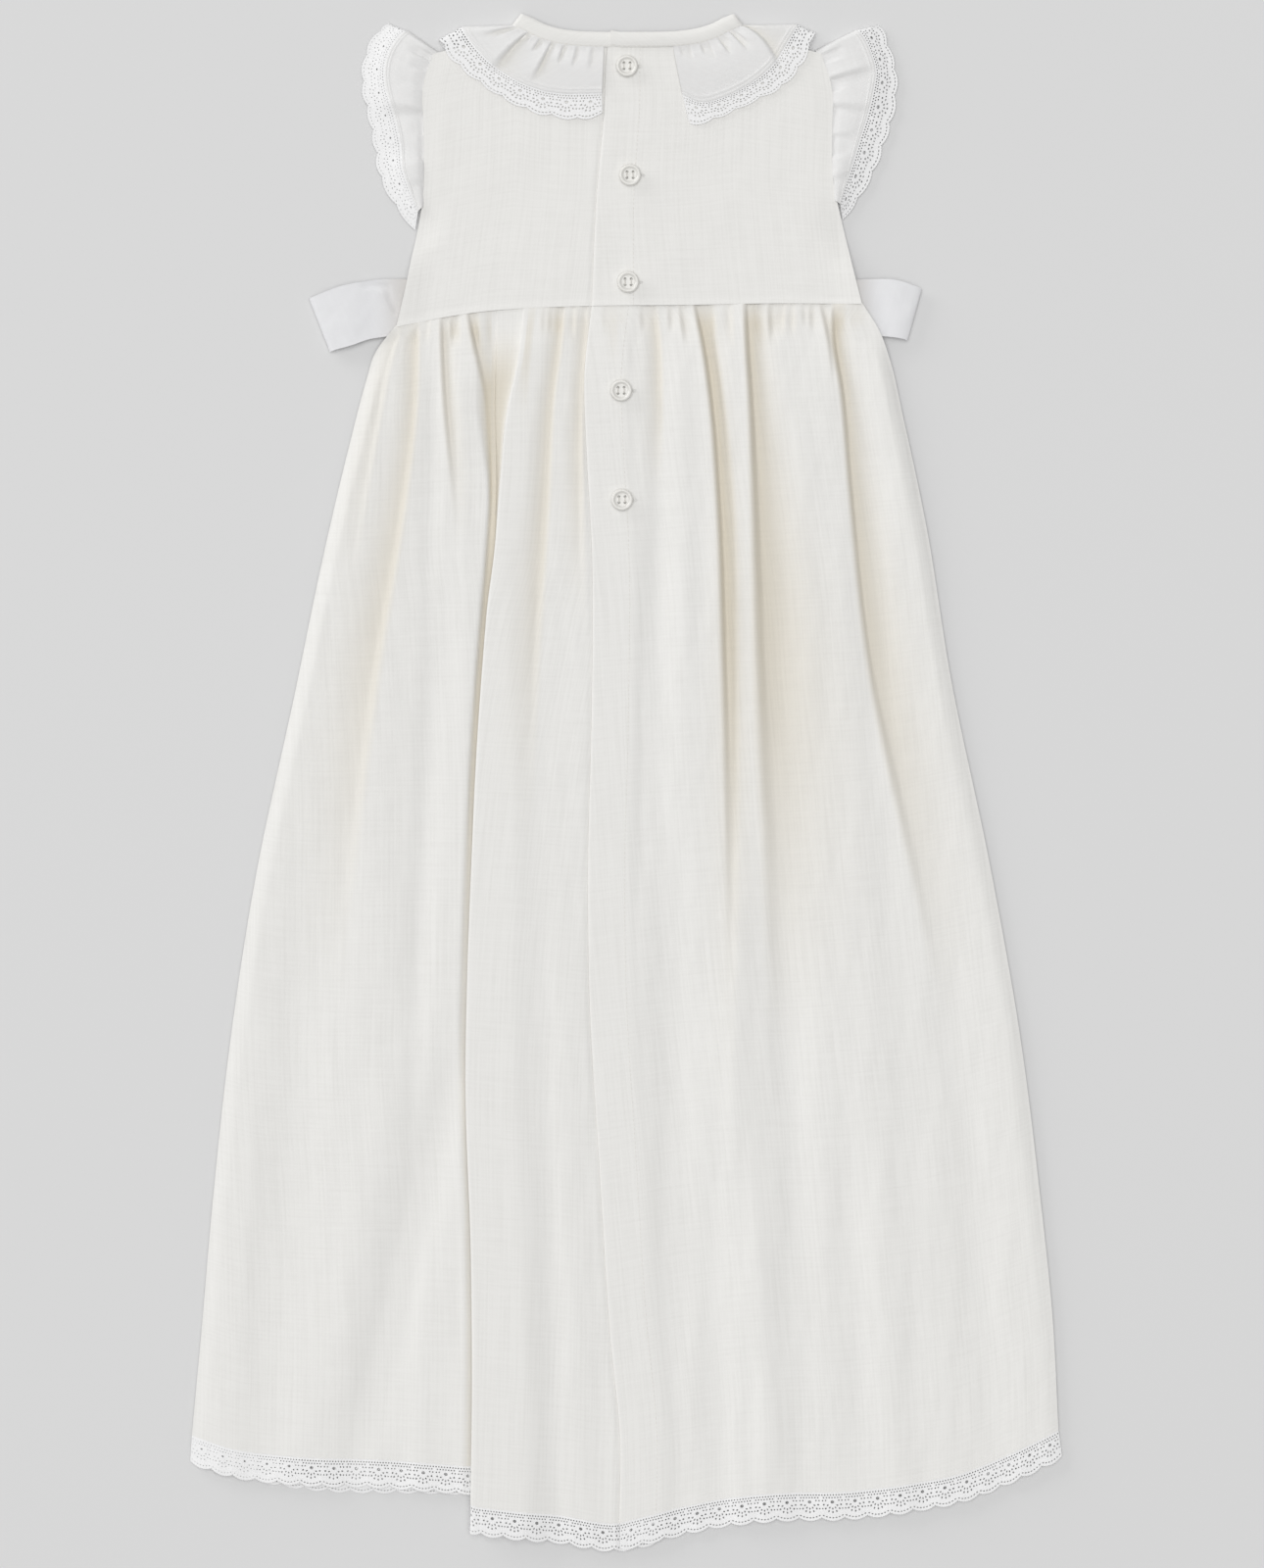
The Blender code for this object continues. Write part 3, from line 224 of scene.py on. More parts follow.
def build_weave():
    """Height and tone of a plain weave. Pitch is in millimetres from thread to thread."""
    group = bpy.data.node_groups.new("Plain weave", "ShaderNodeTree")
    face = group.interface
    for name, value in (("Pitch", 0.55), ("Slub", 1.0), ("Seed", 0.0)):
        socket = face.new_socket(name, in_out="INPUT", socket_type="NodeSocketFloat")
        socket.default_value = value
    face.new_socket("Threads", in_out="INPUT", socket_type="NodeSocketVector")
    for name in ("Height", "Tone"):
        face.new_socket(name, in_out="OUTPUT", socket_type="NodeSocketFloat")
    given = group.nodes.new("NodeGroupInput").outputs
    made = group.nodes.new("NodeGroupOutput").inputs
    in_mm = wire(group, "ShaderNodeVectorMath", {0: given["Threads"]}, operation="SCALE", Scale=1000.0)
    split = wire(group, "ShaderNodeSeparateXYZ", {0: in_mm.outputs[0]}).outputs
    crowns = []
    for axis in ("X", "Y"):
        turns = number(group, "DIVIDE", split[axis], given["Pitch"])
        crowns.append(number(group, "SINE", number(group, "MULTIPLY", turns, 2.0 * math.pi)))
    weave = number(group, "MULTIPLY", crowns[0], crowns[1])
    slubs = []
    for across, along, share in SLUBS:
        place = wire(group, "ShaderNodeCombineXYZ", {"Z": given["Seed"]})
        group.links.new(number(group, "MULTIPLY", split["X"], across), place.inputs["X"])
        group.links.new(number(group, "MULTIPLY", split["Y"], along), place.inputs["Y"])
        noise = wire(group, "ShaderNodeTexNoise", {"Vector": place.outputs[0]}, Scale=1.0, Detail=2.0)
        slubs.append(number(group, "MULTIPLY", number(group, "SUBTRACT", noise.outputs["Fac"], 0.5), share))
    slub = number(group, "MULTIPLY", number(group, "ADD", slubs[0], slubs[1]), given["Slub"])
    even = number(group, "MULTIPLY", weave, 0.22)
    group.links.new(number(group, "ADD", even, slub), made["Height"])
    group.links.new(number(group, "ADD", number(group, "MULTIPLY", slub, 0.5), 0.5), made["Tone"])
    return group


WEAVE = build_weave()
print("weave group:", [s.name for s in WEAVE.interface.items_tree])

# %% [markdown]
# ## Painted shade in the folds
#
# Deep in a fold, ivory linen looks darker and visibly creamier, because it lies in shade and light has
# bounced from cloth to cloth. A renderer finds a part of this by itself, and the rest is painted shade:
# each piece stores a mask of how much painted shade it gets at every point, and the material leans towards
# a darker, warmer painted shade colour there.

# %% Cloth materials
THIN_PLACES = (0.74, 0.735, 0.72)  # what is left of the colour between thin threads
THREAD_HEIGHT = 0.00018  # in metres


def cloth_material(name, colour, painted_shade_colour, pitch, slub, bump, sheen, roughness):
    """A woven cloth: colour in the open, a darker painted shade colour in the hollows, threads from the
    weave group.
    """
    made, tree, shader = new_material(
        name, Roughness=roughness, Sheen_Weight=sheen, Sheen_Roughness=0.45, Specular_IOR_Level=0.25)
    threads = wire(tree, "ShaderNodeUVMap", uv_map="threads")
    weave = wire(tree, "ShaderNodeGroup", node_tree=WEAVE)
    tree.links.new(threads.outputs[0], weave.inputs["Threads"])
    weave.inputs["Pitch"].default_value = pitch
    weave.inputs["Slub"].default_value = slub
    # the mesh's painted shade mask mixes in the darker, warmer painted shade colour
    painted_shade = wire(tree, "ShaderNodeAttribute", attribute_name="painted_shade")
    painted_shade_mix = wire(tree, "ShaderNodeMix", {"Factor": painted_shade.outputs["Fac"]}, data_type="RGBA")
    painted_shade_mix.inputs["A"].default_value = (*colour, 1.0)
    painted_shade_mix.inputs["B"].default_value = (*painted_shade_colour, 1.0)
    thin = wire(
        tree, "ShaderNodeMix", {"A": painted_shade_mix.outputs["Result"]}, data_type="RGBA", blend_type="MULTIPLY")
    thin.inputs["B"].default_value = (*THIN_PLACES, 1.0)
    darker = number(tree, "SUBTRACT", 0.56, weave.outputs["Tone"])
    tree.links.new(number(tree, "MAXIMUM", darker, 0.0), thin.inputs["Factor"])
    tree.links.new(thin.outputs["Result"], shader.inputs["Base Color"])
    relief = wire(
        tree, "ShaderNodeBump", {"Height": weave.outputs["Height"]}, Strength=bump, Distance=THREAD_HEIGHT)
    tree.links.new(relief.outputs["Normal"], shader.inputs["Normal"])
    return made


LINEN, FRILL_COTTON, LACE_YARN, RIBBON_SILK, THREAD = [cloth_material(*row) for row in (
    # name, colour, darker painted shade colour for the hollows, pitch, slub, bump, sheen, roughness
    ("ivory linen", (0.820, 0.812, 0.789), (0.70, 0.648, 0.545), 0.55, 1.0, 0.45, 0.12, 0.85),
    ("white frill cotton", (0.81, 0.806, 0.80), (0.76, 0.74, 0.685), 0.4, 0.5, 0.6, 0.12, 0.85),
    ("white lace cotton", (0.885, 0.884, 0.886), (0.85, 0.845, 0.835), 0.35, 0.5, 0.5, 0.12, 0.8),
    ("white ribbon", (0.80, 0.802, 0.816), (0.66, 0.64, 0.62), 0.3, 0.25, 0.5, 0.2, 0.6),
    ("ivory sewing thread", (0.77, 0.75, 0.71), (0.70, 0.66, 0.58), 0.3, 0.3, 0.5, 0.1, 0.7),
)]
print("materials:", [m.name for m in (LINEN, FRILL_COTTON, LACE_YARN, RIBBON_SILK, THREAD)])

# %% [markdown]
# ## From a grid of points to a sheet of cloth
#
# Each panel is worked out as a grid: a row for each level from waist to hem, a column for each thread
# line. The grid becomes quads, gets smooth shading and a Solidify modifier for its thickness, and its
# UV map holds the distance travelled along the threads, so that the weave keeps its size where the
# panel narrows. Sculpting would be freer, but a grid lets every fold be placed where it was measured.

# %% Grid to cloth
# metres, just over what the frame takes as a side
NARROWEST_SHEET = 0.011  # metres, the least width or length worked out for a sheet


def thread_lengths(grid):
    """For each point of a grid, the distance across and along the cloth, in metres."""
    across = np.linalg.norm(np.diff(grid, axis=1), axis=2)
    across = np.concatenate([np.zeros((len(grid), 1)), np.cumsum(across, axis=1)], axis=1)
    across -= across[:, across.shape[1] // 2][:, None]
    along = np.linalg.norm(np.diff(grid, axis=0), axis=2).mean(axis=1)
    along = np.concatenate([[0.0], np.cumsum(along)])[:, None] + 0.0 * across
    return np.stack([across, along], axis=-1) * MM


def sharpen_border(mesh):
    """Mark the edges with one face as sharp, so that the cloth's thickness doesn't shade its flat side."""
    edges = np.zeros(len(mesh.loops), dtype=np.int32)
    mesh.loops.foreach_get("edge_index", edges)
    border = np.bincount(edges, minlength=len(mesh.edges)) == 1
    mark = mesh.attributes.get("sharp_edge") or mesh.attributes.new("sharp_edge", "BOOLEAN", "EDGE")
    mark.data.foreach_set("value", border)


def new_piece(name, points, faces, finish, uv=None, painted_shade=None):
    """A mesh piece from points in millimetres, riding on the gown."""
    mesh = bpy.data.meshes.new(name)
    mesh.from_pydata(((points - ORIGIN) * MM).tolist(), [], [list(f) for f in faces])
    mesh.materials.append(finish)
    corners = np.zeros(len(mesh.loops), dtype=np.int32)
    mesh.loops.foreach_get("vertex_index", corners)
    if uv is not None:
        layer = mesh.uv_layers.new(name="threads")
        layer.data.foreach_set("uv", uv[corners].astype(np.float32).ravel())
    # the painted shade mask, zero where none is given; the cloth material mixes its painted shade colour by
    # it
    shade = mesh.attributes.new("painted_shade", "FLOAT", "POINT")
    if painted_shade is not None:
        shade.data.foreach_set("value", painted_shade.astype(np.float32).ravel())
    mesh.shade_smooth()
    piece = add_object(name, mesh)
    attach(piece, "root")
    return piece


def thicken(piece, thickness):
    """Turn a piece's face up and give it its thickness, half to each side."""
    if sum(p.normal.z * p.area for p in piece.data.polygons) < 0:
        piece.data.flip_normals()
    sharpen_border(piece.data)
    solid = piece.modifiers.new("Thickness", "SOLIDIFY")
    solid.thickness = thickness * MM
    solid.offset = 0.0


def sheet_of(name, grid, finish, painted_shade=None, thickness=CLOTH):
    """A sheet of cloth about a grid of points in millimetres."""
    rows, columns = grid.shape[:2]
    points = grid.reshape(-1, 3)
    index = np.arange(rows * columns).reshape(rows, columns)
    faces = np.stack([index[:-1, :-1], index[:-1, 1:], index[1:, 1:], index[1:, :-1]], axis=-1)
    faces = faces.reshape(-1, 4)
    uv = thread_lengths(grid).reshape(-1, 2)
    painted_shade = None if painted_shade is None else np.broadcast_to(painted_shade, (rows, columns))
    piece = new_piece(name, points, faces, finish, uv, painted_shade)
    thicken(piece, thickness)
    size = np.ptp(points, axis=0)
    print(f"{name}: {4 * len(faces)} triangles, {size[0]:.0f} x {size[1]:.0f} x {size[2]:.1f} mm")
    return piece


def declare(grid):
    """How wide and how long the cloth in a sheet is when pressed flat; the sizes are worked out and not
    used.
    """
    across = np.linalg.norm(np.diff(grid, axis=1), axis=2).sum(axis=1).max() * MM
    along = np.linalg.norm(np.diff(grid, axis=0), axis=2).sum(axis=0).max() * MM
    across, along = max(across, NARROWEST_SHEET), max(along, NARROWEST_SHEET)


# %% [markdown]
# ## The outlines of the gown
#
# These are the lines that a dressmaker would draw: the sides, the waist seam, the neck and the hem.
# They are the same ones that the solids were made from, so each shell lies in its solid.

# %% Outline tables
BODICE_LEFT = (
    # y, x
    (241.8, -122.5), (267.3, -116.7), (278.0, -114.6), (296.0, -110.8),
    (312.0, -108.3), (345.0, -108.0), (372.0, -107.9), (386.4, -103.2),
)
BODICE_RIGHT = (
    # y, x
    (254.6, 124.0), (271.4, 119.8), (288.0, 115.9), (305.0, 111.9),
    (320.0, 108.9), (345.0, 108.4), (370.0, 108.0), (388.0, 102.2),
)
WAIST = (
    # x, y
    (-140.0, 238.6), (-122.5, 242.4), (-100.0, 247.3), (-77.0, 250.8), (-50.0, 252.7),
    (-17.9, 253.7), (30.9, 254.2), (75.0, 255.0), (124.0, 254.6), (140.0, 254.2),
)
PLACKET = (
    # y, x
    (253.7, -18.5), (310.0, -16.0), (351.0, -12.4), (391.0, -10.2), (400.0, -9.0),
)
SKIRT_PLACKET = (
    # v, x
    (0.00, -18.5), (0.06, -22.4), (0.11, -21.6), (0.20, -18.5), (0.34, -18.6), (0.46, -20.5),
    (0.58, -19.5), (0.70, -14.8), (0.84, -9.1), (0.94, -3.4), (1.00, -4.0),
)
SKIRT_SIDES = (
    # v, left x, right x
    (0.00, -122.5, 124.0), (0.025, -133.8, 133.2), (0.05, -138.6, 138.8), (0.10, -146.3, 145.8),
    (0.20, -160.3, 158.5), (0.33, -176.2, 171.0), (0.50, -197.5, 192.2), (0.65, -211.0, 208.0),
    (0.80, -220.5, 219.2), (0.90, -225.6, 225.3), (1.00, -231.0, 228.4),
)
HEM_SIDE = (
    # x, y of the hem left of the big fold
    (-232.0, -345.0), (-209.0, -352.4), (-178.5, -356.2), (-125.0, -358.5), (-81.0, -361.9),
    (-55.0, -364.0),
)
HEM_MIDDLE = (
    # x, y of the hem from the big fold to the centre back
    (-84.0, -382.0), (-56.4, -385.2), (-36.7, -387.4), (-4.6, -391.7), (20.0, -387.0),
)
HEM_RIGHT = (
    # x, y of the hem right of the centre back
    (-5.0, -391.7), (16.4, -386.3), (40.2, -380.7), (67.6, -376.6), (122.3, -374.4),
    (149.7, -370.8), (177.0, -365.3), (204.4, -354.3), (228.5, -342.5),
)
HEM_FRONT = (
    # x, y of the hidden front hem
    (-230.0, -346.5), (-180.0, -358.0), (-90.0, -362.0), (0.0, -369.0), (90.0, -365.0),
    (180.0, -354.0), (227.0, -341.5),
)
BUTTONS = (
    # x, y, from the neck down
    (-0.3, 380.1), (1.3, 322.4), (0.3, 265.7), (-3.4, 208.0), (-2.9, 150.3),
)
NECK_HALF = 54.0  # from the centre to where the neck seam starts to turn over the shoulder
BACK_NECK = 391.15
FRONT_NECK = 361.15
NECK_RISE = 8.5
NECK_TURN = (60.6, 402.4)  # where the seam passes from the back to the front
NECK_TURN_INWARD = np.array([-0.60, 0.80])
BAND_WIDTH = 7.0
BAND_END_LEFT = 8.0
BAND_END_RIGHT = -9.0
SHOULDER_NECK_Y = 399.6
SHOULDER_TIP_X = 103.0
SHOULDER_TIP_Y = 387.0
RIBBON_Y = 253.0
RIBBON_ROOM = 3.1  # how much the side seams rise over the ribbons
print("waist seam from", WAIST[1], "to", WAIST[-2])

# %% Outline functions


def waist(x):
    return through(WAIST, x)


def back_neck(x):
    return BACK_NECK + NECK_RISE * np.minimum(np.abs(x) / NECK_HALF, 1.1) ** 4


def front_neck(x):
    rise = back_neck(NECK_HALF) - FRONT_NECK
    return FRONT_NECK + rise * np.minimum(np.abs(x) / NECK_HALF, 1.0) ** 2.4


def neck_place(seam, x):
    """A point on a neck seam and the direction from it towards the neck opening, for x to the right."""
    near = min(x, NECK_HALF)
    y = seam(near)
    slope = (y - seam(near - 0.5)) / 0.5
    inward = np.array([-slope, 1.0]) / math.hypot(1.0, slope)
    past = max(x - NECK_HALF, 0.0) / (NECK_TURN[0] - NECK_HALF)
    y = blend(y, NECK_TURN[1], past)
    inward = blend(inward, NECK_TURN_INWARD, min(2.0 * past, 1.0))
    return np.array([x, y]), inward / np.linalg.norm(inward)


def bodice_top(x, neck):
    along = (np.abs(x) - NECK_HALF) / (SHOULDER_TIP_X - NECK_HALF)
    shoulder = blend(SHOULDER_NECK_Y, SHOULDER_TIP_Y, along)
    return np.where(np.abs(x) < NECK_HALF, np.minimum(neck, SHOULDER_NECK_Y), shoulder)


def left_back_x(y):
    return through(BODICE_LEFT, y)


def right_back_x(y):
    return through(BODICE_RIGHT, y)


def placket_x(y):
    return through(PLACKET, y)


print("neck seam at the centre back:", round(float(back_neck(0.0)), 1), "mm from the middle")

# %% [markdown]
# ## How high each layer lies
#
# The gown is a stack: front of the collar, front bodice, back bodice, collar. Laid flat, the back
# comes down to the front along the side seams and rides a few millimetres higher in the middle. One
# function for each level keeps the layers from passing through each other.

# %% Levels


def front_level(y, floor=FLOOR_LEVEL):
    """The front lies on the surface and rises over the front of the collar."""
    return blend(floor, UNDER_COLLAR, ease(293.0, 316.0, y))


def side_level(y):
    """The side seams, one layer over the front and raised over the ribbons."""
    lift = (1.0 - ease(14.0, 40.0, np.abs(y - RIBBON_Y))) * RIBBON_ROOM
    return front_level(y, CAD_FLOOR) + STACK + lift


def bodice_level(x, y):
    """The back bodice, with the shallow rumples of cloth that was pressed and then handled."""
    inward = np.minimum(x - left_back_x(y), right_back_x(y) - x)
    edge = side_level(y)
    inner = BACK_LEVEL + 0.3 * hump(256.0, 34.0, y)
    level = blend(edge, inner, ease(-1.0, 11.0 + 4.0 * np.abs(inner - edge), inward))
    return level + 0.22 * ripple(x, y, 5, 60.0) * ease(0.0, 12.0, inward)


WAIST_LAP = 0.5  # how far the bodice's edge lies over the skirt's gathered edge


def at_waist(y_from_waist):
    """The bodice's lift over the last millimetres above the waist seam."""
    return 0.45 * (1.0 - ease(0.0, 3.0, y_from_waist))


def right_over_left(x):
    """How much higher the right back lies over the left one's edge."""
    return 0.40 * (1.0 - ease(UNDERLAP - 10.0, UNDERLAP + 34.0, x))


def underlap_drop(past_edge):
    """How much lower the left back lies from the right back's edge on."""
    return 0.95 * ease(-3.0, 0.8, past_edge)


print("back bodice at its middle:", round(float(bodice_level(np.array(40.0), np.array(330.0))), 2), "mm up")

# %% [markdown]
# ## Front bodice and front skirt
#
# The front lies face down and shows only where the back leaves it uncovered, at the edges and from
# below. It is still a whole panel, flat on the surface, because a real gown has one and because the
# part can be turned over.

# %% Front panels
HIDDEN = 0.8  # how far the front's sides stay in from the back's


def panel_grid(left, right, bottom, top, level, columns, rows):
    """A panel between two side curves x(y) and two end curves y(x)."""
    s = np.linspace(0.0, 1.0, columns)[None, :]
    t = np.linspace(0.0, 1.0, rows)[:, None]
    low, high = -1e3, 1e3  # beyond both ends, where a side curve keeps its last x
    y_low = bottom(blend(left(low), right(low), s))
    y_high = top(blend(left(high), right(high), s))
    y = blend(y_low, y_high, t)
    x = blend(left(y), right(y), s)
    return np.stack([x, y, level(x, y)], axis=-1)


front_bodice_grid = panel_grid(
    left=lambda y: left_back_x(y) + HIDDEN,
    right=lambda y: right_back_x(y) - HIDDEN,
    bottom=lambda x: waist(x) + SEAM / 2,
    top=lambda x: bodice_top(x, front_neck(x)) - SEAM,
    level=lambda x, y: front_level(y),
    columns=90,
    rows=60,
)
front_bodice = sheet_of("front_bodice", front_bodice_grid, LINEN)
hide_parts("bodice_front")
declare(front_bodice_grid)


def front_skirt_grid(columns, rows):
    v = np.linspace(0.0, 1.0, rows)[:, None]
    s = np.linspace(0.0, 1.0, columns)[None, :]
    left, right = np.moveaxis(through(SKIRT_SIDES, v), -1, 0)
    x = left + HIDDEN + (right - left - 2 * HIDDEN) * s
    y_waist = waist(x[:1]) - SEAM / 2
    y = blend(y_waist, through(HEM_FRONT, x[-1:]), v)
    return np.stack([x, y, np.full_like(x, FLOOR_LEVEL)], axis=-1)


front_grid = front_skirt_grid(columns=48, rows=140)
front_skirt = sheet_of("front_skirt", front_grid, LINEN)
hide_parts("skirt_front")
declare(front_grid)

# %% [markdown]
# ## The back bodice
#
# The left back runs on beneath the right one. The right back's edge is folded under to make the
# placket, so its grid starts underneath, goes round the fold and comes back on top: that gives the
# edge its soft double thickness. A single flat sheet would look like cut paper there.

# %% Turned edge
UNDER_LAYER = 0.62  # from the middle of the upper layer to that of the one folded under
FOLD_BULGE = 0.30  # how far the rounded fold stands out


def with_turned_edge(grid, width, columns=9):
    """The grid with its first column folded under by width, on the side away from the sheet."""
    fold = grid[:, 0]
    across = grid[:, 1] - grid[:, 0]
    across = across / np.linalg.norm(across[:, :2], axis=1)[:, None]
    under = []
    for distance in np.linspace(width, 0.9, columns):
        point = fold + across * distance
        point[:, 2] = fold[:, 2] - UNDER_LAYER
        under.append(point)
    for angle in (-60.0, -20.0, 20.0):
        turn = math.radians(angle)
        point = fold - across * (FOLD_BULGE * math.cos(turn))
        point[:, 2] = fold[:, 2] - UNDER_LAYER / 2 + UNDER_LAYER / 2 * math.sin(turn)
        under.append(point)
    return np.concatenate([np.stack(under, axis=1), grid], axis=1)


# %% Left and right back bodice
left_bodice_grid = panel_grid(
    left=left_back_x,
    right=lambda y: placket_x(y) + UNDERLAP,
    bottom=lambda x: waist(x) - WAIST_LAP,
    top=lambda x: bodice_top(x, back_neck(x)) - SEAM / 2,
    level=lambda x, y: bodice_level(x, y) + at_waist(y - waist(x)) - underlap_drop(x - placket_x(y)),
    columns=130,
    rows=110,
)
left_bodice = sheet_of("left_back_bodice", left_bodice_grid, LINEN)
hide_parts("bodice_back_left")
declare(left_bodice_grid)


def right_bodice_level(x, y):
    """Over the placket the cloth is stiffer, and it dips a little between two buttons."""
    buttons = sum(hump(place, 16.0, y) for _, place in BUTTONS[:3])
    dip = 0.25 * hump(0.0, 14.0, x) * (0.5 - buttons)
    return bodice_level(x, y) + at_waist(y - waist(x)) + right_over_left(x) + dip


right_bodice_grid = panel_grid(
    left=placket_x,
    right=right_back_x,
    bottom=lambda x: waist(x) - WAIST_LAP,
    top=lambda x: bodice_top(x, back_neck(x)) - SEAM / 2,
    level=right_bodice_level,
    columns=120,
    rows=110,
)
turned_bodice_grid = with_turned_edge(right_bodice_grid, TURNED_EDGE)
right_bodice = sheet_of("right_back_bodice", turned_bodice_grid, LINEN)
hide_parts("bodice_back_right")
declare(turned_bodice_grid)

# %% [markdown]
# ## The creases of the skirt
#
# A gathered skirt is pinched to the bodice by its gathering thread. Some gathers die out within a few
# centimetres, others run on as long soft folds that widen towards the hem. Each row of the table is one
# of them: a path, how deep and how wide its valley is, how far it runs, and on which side of the line
# the valley lies. Cloth simulation would make folds too, but not these ones in these places.

# %% Crease tables
# A row's last x goes on to the hem where it has fewer of them than there are stations.
CREASE_STATIONS = (0.0, 0.03, 0.08, 0.16, 0.30, 0.50, 0.75)
LEFT_SIDE_CREASES = (
    # valley side, depth, width at the top, width at 0.4, fades by, x at each station
    (-1, 1.2, 5.0, 12.0, 0.26, (-119.0, -124.5, -130.5, -139.0, -150.0, -158.0, -165.0)),
    (-1, 2.6, 4.0, 13.0, 0.62, (-111.0, -111.0, -111.9, -117.6, -131.5, -147.0, -165.0)),
    (1, 2.2, 3.0, 8.0, 0.21, (-99.0, -98.6, -97.0, -92.4, -88.0, -86.0, -84.0)),
    (1, 1.6, 2.6, 5.0, 0.035, (-93.9, -93.6, -93.0, -92.0, -91.0, -90.0)),
    (-1, 0.9, 2.2, 4.0, 0.03, (-104.5, -105.5, -107.0, -108.0, -109.0, -110.0)),
    (1, 2.4, 3.4, 6.0, 0.24, (-85.2, -81.5, -74.9, -72.0, -71.0)),
    (-1, 1.4, 2.6, 5.0, 0.045, (-80.0, -78.5, -76.5, -75.0, -74.0)),
    (1, 1.5, 2.4, 5.0, 0.045, (-74.6, -73.6, -72.0, -71.0, -70.0)),
    (-1, 1.1, 2.4, 4.0, 0.035, (-89.5, -89.0, -88.0, -87.0, -86.0)),
)
MIDDLE_CREASES = (
    # valley side, depth, width at the top, width at 0.4, fades by, x at each station
    (-1, 1.6, 2.4, 5.0, 0.035, (-55.9, -56.6, -57.5, -58.0)),
    (-1, 1.9, 3.0, 7.0, 0.10, (-49.1, -51.6, -53.4, -54.6, -56.0)),
    (1, 1.3, 2.4, 4.0, 0.03, (-41.5, -41.9, -42.5, -43.0)),
    (-1, 2.6, 3.4, 9.0, 0.46, (-33.5, -35.1, -39.3, -42.0, -48.0, -53.0, -56.0)),
    (-1, 1.5, 2.4, 4.0, 0.035, (-27.3, -27.8, -28.2, -28.4, -28.0)),
    (1, 0.9, 2.4, 4.0, 0.03, (-37.8, -38.2, -38.8, -39.0)),
    (-1, 2.3, 3.2, 8.0, 0.28, (-20.8, -21.6, -23.8, -24.0, -22.0, -21.0)),
    (1, 1.0, 2.2, 4.0, 0.03, (-45.4, -46.0, -47.0, -48.0)),
)
RIGHT_CREASES = (
    # valley side, depth, width at the top, width at 0.4, fades by, x at each station
    (-1, 0.9, 2.6, 5.0, 0.055, (-6.5, -6.0, -5.5, -5.2, -5.0)),
    (1, 0.8, 2.4, 5.0, 0.03, (-13.0, -12.6, -12.0)),
    (-1, 0.7, 2.2, 4.0, 0.025, (-1.8, -1.8, -1.6, -1.5)),
    (1, 0.8, 2.4, 4.0, 0.03, (6.6, 7.2, 8.0, 9.0)),
    (-1, 2.2, 3.2, 8.0, 0.17, (14.8, 17.0, 18.0, 16.6, 15.0)),
    (1, 1.4, 2.6, 5.0, 0.04, (26.8, 29.6, 32.0, 33.0)),
    (1, 1.0, 2.2, 4.0, 0.03, (21.4, 22.0, 23.0, 23.5, 24.0)),
    (1, 3.6, 4.2, 8.0, 0.60, (35.0, 38.9, 43.4, 47.4, 50.6, 53.0, 51.0)),
    (-1, 1.3, 3.0, 9.0, 0.74, (44.0, 46.0, 50.4, 55.6, 57.6, 57.2, 53.5)),
    (-1, 1.1, 2.4, 4.0, 0.035, (46.0, 46.6, 47.4, 48.0)),
    (-1, 1.2, 2.4, 4.0, 0.045, (55.0, 55.8, 57.0, 58.0)),
    (1, 3.8, 5.0, 22.0, 0.66, (62.1, 62.7, 64.6, 66.8, 69.6, 75.0, 80.0)),
    (1, 1.6, 2.6, 5.0, 0.045, (66.3, 68.2, 70.0, 71.0)),
    (1, 1.6, 2.6, 5.0, 0.04, (74.6, 75.1, 76.0, 76.5, 77.0)),
    (-1, 1.5, 2.6, 5.0, 0.035, (83.5, 82.4, 81.6, 81.0)),
    (-1, 1.4, 2.4, 5.0, 0.035, (88.7, 88.5, 88.0, 87.6, 87.0)),
    (1, 1.0, 2.2, 4.0, 0.025, (92.3, 92.6, 93.0)),
    (1, 1.2, 2.4, 4.0, 0.03, (96.4, 96.8, 97.4, 98.0)),
    (1, 1.9, 2.8, 6.0, 0.075, (101.7, 105.6, 108.6, 110.0, 111.0, 112.0)),
    (1, 3.5, 3.6, 13.0, 0.64, (109.3, 109.0, 113.3, 117.8, 127.5, 153.0, 186.0)),
    (-1, 1.3, 2.4, 4.0, 0.035, (114.7, 114.2, 113.6, 113.0)),
    (1, 1.1, 2.2, 4.0, 0.03, (118.3, 119.2, 120.2, 121.0, 122.0)),
    (1, 0.8, 2.2, 4.0, 0.025, (121.9, 122.6, 123.6, 124.0)),
)
